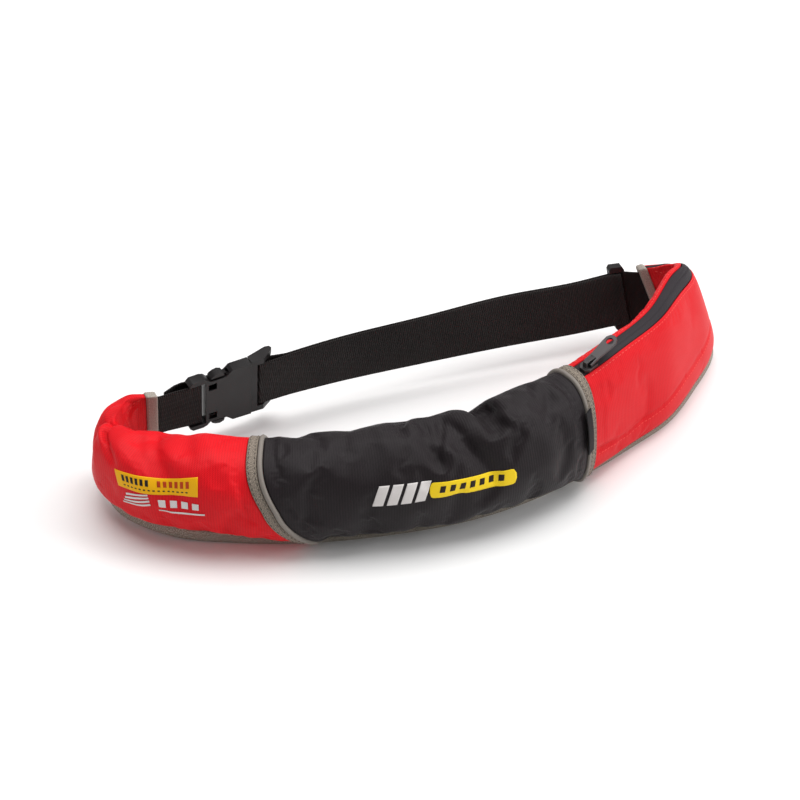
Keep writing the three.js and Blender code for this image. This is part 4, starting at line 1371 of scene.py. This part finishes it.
@dataclass
class Bands:
    """Seam tapes, piping, end tapes and the folded tape along the lower edge.

    Attributes:
        proud: How far a tape stands proud, in mm.
        cord: How far the piping stands proud, in mm.
        flange: Thickness of the lower edge, in mm.
    """

    proud: float = 0.9
    cord: float = 1.9
    flange: float = 3.6

    def ring_bands(self) -> None:
        """Builds the seam tapes, the piping beside each and the tapes that bind the ends."""
        tape = tape_profile(BAND_WIDTH, self.proud)
        cord = cord_profile(PIPING_WIDTH, self.cord)
        end = tape_profile(END_BAND_WIDTH, self.proud, 1.1)
        right_tape = shifted(right_seam, PIPING_WIDTH + GAP)
        left_cord = shifted(left_seam, BAND_WIDTH + GAP)
        right_end = fixed(RIGHT_STOP + GAP)
        for name, node, seam, profile, finish, slot in (
            ("left_seam_tape", "left_seam_binding", left_seam, tape, GREY_TAPE, "grey_binding"),
            ("right_seam_tape", "right_seam_binding", right_tape, tape, GREY_TAPE, "grey_binding"),
            ("left_piping_cord", "left_piping", left_cord, cord, PIPING_CLOTH, "grey_piping"),
            ("right_piping_cord", "right_piping", right_seam, cord, PIPING_CLOTH, "grey_piping"),
            ("left_end_tape", "left_end_binding", fixed(0.0), end, END_TAPE, "grey_binding"),
            ("right_end_tape", "right_end_binding", right_end, end, END_TAPE, "grey_binding"),
        ):
            dress(ring_band(seam, profile, name, finish), slot, node)

    def lower_tape(self) -> None:
        """Builds the folded tape along the lower edge."""
        distance = np.linspace(1.0, ROUTE.pouch - 1.0, 420)[:, None]
        base, hem = SKIN.lower_edge(distance)
        half = self.flange / 2
        profile = [(-half + 0.5, 0.0), (-half, 0.12), (-half, 0.8), (-half + 0.5, 1.0),
                   (half - 0.5, 1.0), (half, 0.8), (half, 0.12), (half - 0.5, 0.0)]
        out = np.array([row[0] for row in profile])[None, :]
        share = np.array([row[1] for row in profile])[None, :]
        flare = np.where(out > 0, 1.1, 0.3) * (1 - share) ** 1.5
        points = ROUTE.place(distance + 0 * out, out + np.sign(out) * flare + 0 * distance,
                             base + (hem - base) * share)
        edge = np.cumsum([0.0, 0.8, 3.4, 1.0, 2.6, 1.0, 3.4, 0.8, 2.6])
        draft = Draft()
        cloth = np.stack(np.broadcast_arrays(distance, edge[None, :]), -1)
        draft.grid(points, cloth, (False, True))
        draft.close_tube(len(profile))
        # Its finish is the seam tape's grey painted lighter against the shade it sits in.
        dress(draft.build("lower_edge_tape", LOWER_TAPE_LIT), "grey_binding", "lower_binding")

    def build(self) -> None:
        """Builds every band."""
        self.ring_bands()
        self.lower_tape()


@dataclass
class Pocket:
    """Zipped pocket at the right end: front, back, and the tape between them.

    Attributes:
        steps: Number of steps along the pocket.
        rows: Number of steps across the front and the back.
        tape_rows: Number of steps across the zip tape.
        front_start: First turn of the front, its rise at the seam and the share it rises over.
        back_end: Last turn of the back.
        ripples: Usual length and height of the small ripples, in mm.
        furrow: Turn and reach in degrees, and depth in mm, of the furrow over the lower edge.
        held: How far the rims hold, from the seams and from the zip and hem, in mm.
        tape_inset: How far the tape's edges stand back, in degrees.
        tape_sink: How far the tape lies outside the skin, in mm.
        groove: Depth in mm, and half-width in steps, of the groove between the tape's halves.
    """

    steps: int = 120
    rows: int = 44
    tape_rows: int = 20
    front_start: tuple[float, float, float] = (-82, 14, 0.08)
    back_end: float = 264.0
    ripples: tuple[float, float] = (44.0, 0.25)
    furrow: tuple[float, float, float] = (-66.0, 16.0, 1.6)
    held: tuple[float, float] = (10, 7)
    tape_inset: float = 1.5
    tape_sink: float = -0.5
    groove: tuple[float, float] = (0.7, 0.9)

    def panel(self, low: Callable, high: Callable, rows: int, **more: object) -> Net:
        """Net on the pocket between two turns."""
        size = (self.steps, rows)
        return Net(shifted(right_seam, POCKET_START), fixed(RIGHT_STOP), low, high, size, **more)

    def cloth(self, name: str, net: Net, seed: int, growth: float) -> None:
        """Builds the front or the back.

        Args:
            name: Name of the solid that it stands for.
            net: Where it lies.
            seed: Seed of its small ripples.
            growth: Growth of its cloth.
        """
        slack = Slack(pressure=1.0, growth=growth, most=2.5, bending=2.0)
        settle_panel(net, self.hold(net), (seed, *self.ripples), slack)
        if name == "pocket_front":
            net.tuck(*self.furrow)
            net.crease(POCKET_CREASES, 1.0 - 0.0 * net.turn)
        piece = net.build(f"{name}_cloth", RED_CLOTH)
        dress(piece, "red_cloth", name)

    def build(self) -> tuple[Net, Net]:
        """Builds the pocket's pieces.

        Returns:
            Nets of its front and its back.
        """
        turn, rise, share = self.front_start
        front = self.panel(lambda i: turn + rise * (1 - ease(i / share)), SKIN.tape_front,
                           self.rows)
        back = self.panel(SKIN.tape_back, fixed(self.back_end), self.rows)
        self.cloth("pocket_front", front, 31, 0.003)
        self.cloth("pocket_back", back, 37, 0.012)
        tape = self.panel(lambda i: SKIN.tape_front(i) + self.tape_inset,
                          lambda i: SKIN.tape_back(i) - self.tape_inset, self.tape_rows,
                          grow=fixed(self.tape_sink))
        depth, reach = self.groove
        push = depth * np.exp(-(((tape.across - 0.5) * self.tape_rows) / reach) ** 2)
        tape.move(-normals_of(tape.points, False) * push[..., None])
        dress(tape.build("zip_tape_cloth", ZIP_CLOTH), "zip_tape", "zip_tape")
        return front, back

    def hold(self, net: Net) -> np.ndarray:
        """How firmly the rims hold a pocket panel.

        Args:
            net: The panel.

        Returns:
            From 0 where it is free to 1 at a rim.
        """
        ends, sides = self.held
        turns = np.abs(net.high(net.along) - net.low(net.along))
        side = np.minimum(net.across, 1 - net.across) * turns * LEVEL_SPREAD
        free = ease((net.seam_distance() - 1) / ends)
        return np.maximum(1 - free, 1 - ease((side - 0.5) / sides))


@dataclass
class Straps:
    """Webbing on both sides of the buckle, as one thickness along a drawn path.

    Attributes:
        width: Width of the webbing, in mm.
        thickness: Its thickness, in mm.
        middle: Height of its middle line, in mm.
        tuck: How far it goes into the pouch, in mm.
        buckle_left: Distance of the buckle's left end before the pouch's left end, in mm.
        buckle_split: Distance at which the buckle's halves meet, in mm.
        glide: Distance of the adjuster's bar, in mm.
        bar: Both sides of the socket's bar past its left end, in mm.
        ladder: Both sides of the plug's first bar past its inner end, in mm.
        edges: Inset from the webbing's edge in mm, and share of half the thickness, by row.
    """

    width: float = 38.0
    thickness: float = 1.6
    middle: float = 37.5
    tuck: float = 7.0
    buckle_left: float = 22.0
    buckle_split: float = 66.6
    glide: float = 351.0
    bar: tuple[float, float] = (3, 8)
    ladder: tuple[float, float] = (7.4, 10.8)
    edges: tuple[tuple[float, float], ...] = ((0.05, 0.35), (0.3, 0.8), (0.9, 1.0))

    def half_turn(self, centre: tuple, half_length: float, half_thickness: float, side: int,
                  start: int) -> list:
        """Half turn round a bar, from one face of it to the other.

        Args:
            centre: Middle of the bar: distance before the left end, and distance out.
            half_length: Half the bar along the belt, in mm.
            half_thickness: Half the bar across it, in mm.
            side: 1 or -1, the end of the bar that the turn goes round.
            start: 1 or -1, the face where it starts.

        Returns:
            Places of the turn's points.
        """
        reach = self.thickness / 2 + GAP
        rows = []
        for angle in np.linspace(0, math.pi, 17):
            away = math.sin(angle) ** 0.7 * reach if 0 < angle < math.pi - 1e-9 else 0.0
            cosine = math.cos(angle)
            out = math.copysign(abs(cosine) ** 0.7, cosine)
            rows.append((centre[0] + side * (half_length + away),
                         centre[1] + start * out * (half_thickness + reach)))
        return rows

    def band(self, path: list, name: str) -> bpy.types.Object:
        """Lays webbing along a path.

        Args:
            path: Distance before the pouch's left end and distance out, in mm.
            name: Name of the piece.

        Returns:
            The piece.
        """
        rows = np.array(path, float)
        steps = np.hypot(*np.diff(rows, axis=0).T)
        keep = np.concatenate([[True], steps > 1e-6])
        rows = rows[keep]
        fine = [rows[:1]]
        for a, b in zip(rows[:-1], rows[1:]):
            count = max(int(np.hypot(*(b - a)) / 2.2), 1)
            fine.append(a + (b - a) * (np.arange(1, count + 1) / count)[:, None])
        line = np.concatenate(fine)
        way = unit(np.diff(line, axis=0))
        before = np.concatenate([way[:1], way])
        after = np.concatenate([way, way[-1:]])
        half = self.thickness / 2
        spread = half / np.maximum(1 + (before * after).sum(1), 0.4)
        side = np.stack([-(before + after)[:, 1], (before + after)[:, 0]], 1) * spread[:, None]
        ups, outs = self.section()
        b = line[:, :1] + side[:, :1] * outs
        n = line[:, 1:] + side[:, 1:] * outs
        points = ROUTE.place(ROUTE.total - b, n, self.middle + ups + 0 * b)
        run = running(np.hypot(*np.diff(line, axis=0).T))[:, None]
        edge = np.concatenate([ups + 19, (ups + 19)[:1]])[None, :]
        cloth = np.stack(np.broadcast_arrays(run, edge), -1)
        draft = Draft()
        draft.grid(points, cloth, (False, True))
        draft.close_tube(len(ups))
        return draft.build(name, WEBBING_CLOTH)

    def section(self) -> tuple[np.ndarray, np.ndarray]:
        """Closed section of the webbing, with rounded edges.

        Returns:
            Heights in mm, and sides as shares of half the thickness.
        """
        half = self.width / 2
        face = [(half - inset, out) for inset, out in self.edges]
        face += [(h, 1.0) for h in np.linspace(half - 3, -half + 3, 9)]
        face += [(-h, o) for h, o in reversed(face[:3])]
        rows = face + [(h, -o) for h, o in reversed(face)]
        return np.array([row[0] for row in rows]), np.array([row[1] for row in rows])

    def build(self) -> None:
        """Builds both straps."""
        bar_left, bar_right = (self.buckle_left + side for side in self.bar)
        half = (bar_right - bar_left) / 2
        left = [(-self.tuck, 0), (0, 0), (8, -0.3), (16, -1.2), (22, -1.9)]
        left += self.half_turn(((bar_left + bar_right) / 2, 1.0), half, 2.0, 1, -1)
        left += [(25, 5.0), (20, 5.9), (15, 5.4), (10, 3.6), (6.5, 2.3)]
        dress(self.band(left, "left_webbing"), "webbing", "left_strap")
        right_end, g = ROUTE.total - ROUTE.pouch, self.glide
        plug = self.buckle_split + 0.5
        ladder = [plug + side for side in self.ladder]
        middle = ((ladder[0] + ladder[1]) / 2, 1.0)
        belt = [(right_end + self.tuck, 0), (right_end, 0), (right_end - 8, 0.3), (g + 12, 1.0),
                (g + 5.4, 1.0), (g + 2.6, 4.3), (g - 1.4, 4.3), (g - 5.2, 1.0), (g - 12, 1.0),
                (plug + 27, 1.0), (plug + 17, 3.3), (ladder[1] + 0.8, 3.6)]
        belt += self.half_turn(middle, 1.7, 1.5, -1, 1)
        belt += [(plug + 17, -1.5), (plug + 27, -1.0), (g - 12, -1.0), (g - 5, -1.0), (g - 2, -1.9)]
        belt += self.half_turn((g, 0.2), 1.2, 1.0, 1, -1)
        belt += [(g - 0.6, 2.3)]
        dress(self.band(belt, "belt_webbing"), "webbing", "belt_strap")


@dataclass
class Hardware:
    """Moulded and metal parts, which keep their solids' shape with eased edges.

    Attributes:
        edge: Width of the eased edges of the plastic, in mm.
        fine_edge: Width of the eased edges of the metal, in mm.
    """

    edge: float = 0.45
    fine_edge: float = 0.22

    def ease_edges(self, node: str, finish: HardFinish, width: float) -> None:
        """Gives one solid its finish and eased edges.

        Args:
            node: Name of the solid.
            finish: Its finish.
            width: Width of the eased edges, in mm.
        """
        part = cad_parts[node]
        part.data.materials.clear()
        part.data.materials.append(finish.material())
        weld = part.modifiers.new("joined corners", "WELD")
        weld.merge_threshold = 0.00002
        flat = part.modifiers.new("flat faces", "DECIMATE")
        flat.decimate_type = "DISSOLVE"
        flat.angle_limit = math.radians(2.0)
        bevel = part.modifiers.new("eased edges", "BEVEL")
        bevel.width = width * MM
        bevel.segments = 2
        bevel.limit_method = "ANGLE"
        bevel.angle_limit = math.radians(28)
        bevel.use_clamp_overlap = True
        part.modifiers.new("even shading", "WEIGHTED_NORMAL")
        part.data.polygons.foreach_set("use_smooth", [True] * len(part.data.polygons))
        LOG.info("solid %s keeps its shape", node)

    def build(self) -> None:
        """Finishes every hard part."""
        for node in ("buckle_socket", "buckle_plug", "strap_adjuster"):
            self.ease_edges(node, BLACK_PLASTIC, self.edge)
        for node in ("zip_slider", "zip_pull"):
            self.ease_edges(node, DARK_METAL, self.fine_edge)


@dataclass
class Prints:
    """Plain printed shapes on the covers, each a thin film on the cloth.

    Attributes:
        lift: Height of the film over the cloth, in mm.
        film: Thickness of the film, in mm.
        second_lift: Extra height of what is printed on another film, in mm.
        steps: Number of steps across and up a field.
    """

    lift: float = 0.22
    film: float = 0.12
    second_lift: float = 0.14
    steps: tuple[int, int] = (44, 14)

    def shape(self, draft: Draft, net: Net, corners: tuple, box: tuple, slant: float = 0.0,
              rounding: float = 0.0, raise_by: float = 0.0) -> None:
        """Adds one film shape.

        Args:
            draft: Where its faces go.
            net: Cloth that it lies on.
            corners: Distance and turn of the field's corners, from the lower left round.
            box: Left, right, bottom and top of the shape as shares of the field.
            slant: How far its top is moved right, as a share of the field's width.
            rounding: Share of its height that its corners are rounded by.
            raise_by: Extra height over the cloth, in mm.
        """
        left, right, bottom, top = box
        nx = max(int((right - left) * self.steps[0]), 3)
        ny = max(int((top - bottom) * self.steps[1]), 3)
        x, y = np.meshgrid(np.linspace(0, 1, nx + 1), np.linspace(-1, 1, ny + 1), indexing="ij")
        if rounding:
            from_end = np.minimum(x, 1 - x) / rounding
            rounded = np.sqrt(1 - (1 - np.clip(from_end, 0, 1)) ** 2)
            y = y * np.where(from_end < 1, 0.35 + 0.65 * rounded, 1.0)
        v = bottom + (top - bottom) * (y + 1) / 2
        u = left + (right - left) * x + slant * v
        shares = ((1 - u) * (1 - v), u * (1 - v), u * v, (1 - u) * v)
        distance, turn = (sum(s * corner[k] for s, corner in zip(shares, corners)) for k in (0, 1))
        points, normal = net.sample(distance, turn)
        cloth = np.stack([distance, turn * LEVEL_SPREAD], -1)
        over = draft.grid(points + normal * (self.lift + self.film + raise_by), cloth)
        under = draft.grid(points + normal * (self.lift + raise_by), cloth)
        ids = np.arange((nx + 1) * (ny + 1)).reshape(nx + 1, ny + 1)
        for row in (ids[0], ids[-1], ids[:, 0], ids[:, -1]):
            draft.strip(over + row, under + row, False)

    def blocks(self, draft: Draft, net: Net, corners: tuple, row: tuple, **more: float) -> None:
        """Adds a row of equal blocks.

        Args:
            draft: Where the faces go.
            net: Cloth that they lie on.
            corners: Distance and turn of the field's corners.
            row: First place, width, spacing, number, bottom and top.
            more: What else each shape is given.
        """
        first, width, spacing, number, bottom, top = row
        for k in range(number):
            at = first + spacing * k
            self.shape(draft, net, corners, (at, at + width, bottom, top), **more)

    def left_patch(self, net: Net) -> None:
        """Yellow patch with plain blocks, and pale blocks below it.

        Args:
            net: The left cover.
        """
        ground, dark, rust, pale = Draft(), Draft(), Draft(), Draft()
        patch = ((97.5, 7.5), (146.0, 17.5), (146.0, 42.5), (93.5, 27.0))
        self.shape(ground, net, patch, (0.0, 1.0, 0.0, 1.0))
        for draft, row in ((dark, (0.09, 0.035, 0.062, 6, 0.42, 0.8)),
                           (rust, (0.53, 0.038, 0.066, 6, 0.42, 0.8)),
                           (dark, (0.1, 0.025, 0.054, 15, 0.17, 0.24))):
            self.blocks(draft, net, patch, row, raise_by=self.second_lift)
        icon = ((98.0, -18.0), (122.0, -2.5), (121.5, 18.0), (98.0, 6.0))
        for k in range(4):
            bar = (0.1 + 0.06 * k, 0.9, 0.16 + 0.17 * k, 0.25 + 0.17 * k)
            self.shape(pale, net, icon, bar, slant=-0.1)
        rows = ((123.5, -8.0), (149.5, -3.0), (150.0, 10.5), (122.0, 8.0))
        self.blocks(pale, net, rows, (0.04, 0.14, 0.23, 4, 0.45, 0.9))
        self.shape(pale, net, rows, (0.0, 1.0, 0.12, 0.22))
        dress(ground.build("left_patch_ground", YELLOW_INK), "red_cloth")
        dress(dark.build("left_patch_dark_blocks", DARK_INK), "black_cloth")
        dress(rust.build("left_patch_rust_blocks", RUST_INK), "red_cloth")
        dress(pale.build("left_pale_blocks", WHITE_INK), "grey_piping")

    def middle_mark(self, net: Net) -> None:
        """White slanted blocks and a yellow bar with plain dark blocks.

        Args:
            net: The middle cover.
        """
        white, yellow, dark = Draft(), Draft(), Draft()
        corners = ((248.5, 2.0), (284.0, 3.0), (285.5, 24.0), (249.5, 26.0))
        self.blocks(white, net, corners, (0.0, 0.175, 0.235, 4, 0.04, 0.95), slant=0.1)
        bar = ((282.4, 5.5), (336.0, 1.0), (336.0, 14.5), (283.4, 21.0))
        self.shape(yellow, net, bar, (0.0, 1.0, 0.0, 1.0), rounding=0.05)
        self.blocks(dark, net, bar, (0.1, 0.06, 0.115, 7, 0.3, 0.72), slant=0.03,
                    raise_by=self.second_lift)
        dress(white.build("middle_white_blocks", WHITE_INK), "grey_piping")
        dress(yellow.build("middle_yellow_bar", BRIGHT_INK), "red_cloth")
        dress(dark.build("middle_dark_blocks", DARK_INK), "black_cloth")

    def build(self, left: Net, middle: Net) -> None:
        """Prints both covers."""
        self.left_patch(left)
        self.middle_mark(middle)


@dataclass
class Details:
    """Stitch rows and the folded tag in the right seam.

    Attributes:
        proud: Height of the stitches on the tapes over the skin, in mm.
        inset: Distance of the stitches from a seam tape's edges, in mm.
        end_inset: Distance of the stitches from an end tape's edge, in mm.
        hem: Places of the pocket's hem line along the pouch in mm, and its turns there.
        hem_stitch: How far under the hem line it is stitched, in degrees.
        zip_stitch: Degrees from the zip tape, in front and behind.
        tag_sides: Both sides of the tag past the right seam, in mm.
        tag_turns: First and last turn of the tag.
        tag_size: Number of steps along and round the tag.
    """

    proud: float = 0.95
    inset: float = 1.3
    end_inset: float = 1.6
    hem: tuple[tuple[float, ...], ...] = ((399.0, 438.5, 474.5, 504.5, 538.5, 555.0, 600.0),
                                          (-17.0, -25.0, -22.5, -15.5, -16.0, -14.0, -10.0))
    hem_stitch: float = 4.5
    zip_stitch: tuple[float, float] = (6.5, 7.0)
    tag_sides: tuple[float, float] = (-3.0, 3.6)
    tag_turns: tuple[float, float] = (-4.0, 34.0)
    tag_size: tuple[int, int] = (8, 24)

    def seam_rows(self) -> None:
        """Stitches on the seam and end tapes."""
        turn = np.linspace(-60, 240, 400)
        lift = proud(self.proud)(turn)
        rows = Stitching(2.0, 1.4, 0.22)
        for seam, start in ((left_seam, 0.0), (right_seam, PIPING_WIDTH + GAP)):
            for inset in (self.inset, BAND_WIDTH - self.inset):
                rows.on_skin(seam(turn) + start + inset, turn, lift)
        dress(rows.build("seam_tape_stitches", DARK_THREAD), "grey_binding")
        ends = Stitching(2.0, 1.4, 0.2)
        for place in (END_BAND_WIDTH - self.end_inset, RIGHT_STOP + GAP + self.end_inset):
            ends.on_skin(place + 0 * turn, turn, lift)
        dress(ends.build("end_tape_stitches", PALE_THREAD), "grey_binding")

    def lower_row(self) -> None:
        """Stitches along the lower edge tape."""
        distance = np.linspace(12.0, ROUTE.pouch - 12.0, 900)
        base, hem = SKIN.lower_edge(distance)
        up = base + (hem - base) * 0.55
        points = ROUTE.place(distance, 1.82, up)
        outwards = unit(ROUTE.place(distance, 3.0, up) - points)
        rows = Stitching(2.2, 1.6, 0.2).row(points, outwards)
        dress(rows.build("lower_tape_stitches", PALE_THREAD), "grey_binding")

    def inner_rows(self, left: Net, back: Net) -> None:
        """Stitches that hold the webbing's ends inside both end walls.

        Args:
            left: Net of the left cover.
            back: Net of the pocket's back.
        """
        rows = Stitching(2.2, 1.3, 0.24)
        corners, share = (0, 1, 2), np.linspace(0, 2, 60)
        turns = np.interp(share, corners, (138, 168, 200))
        for net, near, far in ((left, 11.0, 29.0), (back, RIGHT_STOP - 4.0, RIGHT_STOP - 22.0)):
            places = np.interp(share, corners, (near, far, near))
            rows.row(*net.sample(places, turns))
        dress(rows.build("inner_wall_stitches", RED_THREAD), "red_cloth")

    def pocket_rows(self, front: Net, back: Net) -> None:
        """Topstitches beside the zip and along the pocket's hem line.

        Args:
            front: Net of the pocket's front.
            back: Net of the pocket's back.
        """
        rows = Stitching(2.4, 1.0, 0.27)
        share = np.linspace(0.02, 0.985, 500)
        start = RIGHT_SEAM[0] + POCKET_START
        distance = start + (RIGHT_STOP - start) * share
        ahead, behind = self.zip_stitch
        rows.row(*front.sample(distance, SKIN.tape_front(share) - ahead))
        rows.row(*back.sample(distance, SKIN.tape_back(share) + behind))
        distance = np.linspace(405.0, 596.0, 400)
        hem = np.interp(distance, *self.hem) - self.hem_stitch
        rows.row(*front.sample(distance, hem))
        dress(rows.build("pocket_stitches", RED_THREAD), "red_cloth")

    def side_tag(self) -> None:
        """Folded tag that stands on the right piping."""
        lift = Bands.cord + GAP
        sides = [shifted(right_seam, side) for side in self.tag_sides]
        net = Net(*sides, *map(fixed, self.tag_turns), self.tag_size, grow=fixed(lift + 1.0))
        net.inner = SKIN.point(net.distance, net.turn, lift)
        dress(net.build("side_tag_cloth", TAG_CLOTH), "black_cloth", "side_tag")

    def build(self, left: Net, front: Net, back: Net) -> None:
        """Builds every detail.

        Args:
            left: Net of the left cover.
            front: Net of the pocket's front.
            back: Net of the pocket's back.
        """
        self.inner_rows(left, back)
        self.seam_rows()
        self.lower_row()
        self.pocket_rows(front, back)
        self.side_tag()


@dataclass
class Studio:
    """Pale floor, soft lights and the camera.

    Attributes:
        azimuth: Camera's turn round the object, in degrees.
        elevation: Camera's height over the horizon, in degrees.
        distance: Distance from what it looks at, in mm.
        field_of_view: Its angle of view, in degrees.
        sensor: Width of its sensor, in mm.
        look_height: Height over the floor that it and the lights face, in mm.
        lights: Name, place in m, size in m and power in W of each light.
        floor_reach: Half the floor's width, in m.
        floor_colour: Linear colour of the floor.
        floor_roughness: Roughness of the floor.
        world_strength: Strength of the white light from all round.
    """

    azimuth: float = -20.0
    elevation: float = 38.0
    distance: float = 1246.7
    field_of_view: float = 24.0
    sensor: float = 36.0
    look_height: float = 40.0
    lights: tuple[tuple, ...] = (
        ("key_light", (1.9, 0.1, 2.7), 2.0, 40.0),
        ("top_light", (0.0, 0.7, 3.0), 3.1, 91.0),
        ("front_light", (2.6, -1.35, 1.45), 1.6, 40.0),
        ("left_fill", (-2.3, -0.9, 2.2), 2.4, 9.0),
    )
    floor_reach: float = 6.0
    floor_colour: tuple[float, float, float, float] = (0.87, 0.865, 0.86, 1.0)
    floor_roughness: float = 0.8
    world_strength: float = 0.2

    def camera(self) -> None:
        """Places the camera."""
        a, e = math.radians(self.azimuth), math.radians(self.elevation)
        back = Vector((math.sin(a) * math.cos(e), -math.cos(a) * math.cos(e), math.sin(e)))
        target = Vector((np.array([0.0, 0.0, self.look_height]) - CENTRE) * MM)
        data = bpy.data.cameras.new("studio_camera")
        data.sensor_width = self.sensor
        data.lens = self.sensor / 2 / math.tan(math.radians(self.field_of_view / 2))
        data.clip_start, data.clip_end = 0.05, 20.0
        made = link("studio_camera", data)
        self.aim(made, target + back * self.distance * MM, -back)
        bpy.context.scene.camera = made

    @staticmethod
    def aim(made: bpy.types.Object, place: Vector, way: Vector) -> None:
        """Puts a camera or a light somewhere, facing one way.

        Args:
            made: The camera or light.
            place: Where it stands, in m.
            way: The way it faces.
        """
        made.location = place
        made.rotation_mode = "QUATERNION"
        made.rotation_quaternion = way.to_track_quat("-Z", "Y")

    def light(self, name: str, place: tuple, size: float, power: float) -> None:
        """Adds a soft light that faces the object.

        Args:
            name: Name of the light.
            place: Where it stands, in m.
            size: Its width, in m.
            power: Its power, in W.
        """
        data = bpy.data.lights.new(name, "AREA")
        data.shape = "DISK"
        data.size = size
        data.energy = power
        self.aim(link(name, data), place, Vector((0, 0, self.look_height * MM)) - Vector(place))

    def floor(self) -> None:
        """Lays the pale floor."""
        mesh = bpy.data.meshes.new("studio_floor")
        r = self.floor_reach
        corners = [(-r, -r, 0), (r, -r, 0), (r, r, 0), (-r, r, 0)]
        mesh.from_pydata(corners, [], [(0, 1, 2, 3)])
        made = link("studio_floor", mesh)
        material = bpy.data.materials.new("pale floor")
        material.use_nodes = True
        shader = material.node_tree.nodes["Principled BSDF"]
        shader.inputs["Base Color"].default_value = self.floor_colour
        shader.inputs["Roughness"].default_value = self.floor_roughness
        mesh.materials.append(material)

    def build(self) -> None:
        """Sets up the studio."""
        self.camera()
        self.floor()
        for row in self.lights:
            self.light(*row)
        world = bpy.data.worlds.new("studio_world")
        world.use_nodes = True
        sky = world.node_tree.nodes["Background"].inputs
        sky["Color"].default_value = (1.0, 1.0, 1.0, 1.0)
        sky["Strength"].default_value = self.world_strength
        bpy.context.scene.world = world
        bpy.context.scene.view_settings.view_transform = "Standard"
        bpy.context.scene.view_settings.look = "None"


def main() -> None:
    """Builds the studio and every sub-assembly in order."""
    logging.basicConfig(level=logging.INFO, format="%(message)s")
    Studio().build()
    left, middle = Covers().build()
    front, back = Pocket().build()
    Bands().build()
    Straps().build()
    Hardware().build()
    Prints().build(left, middle)
    Details().build(left, front, back)


if __name__ == "__main__":
    main()
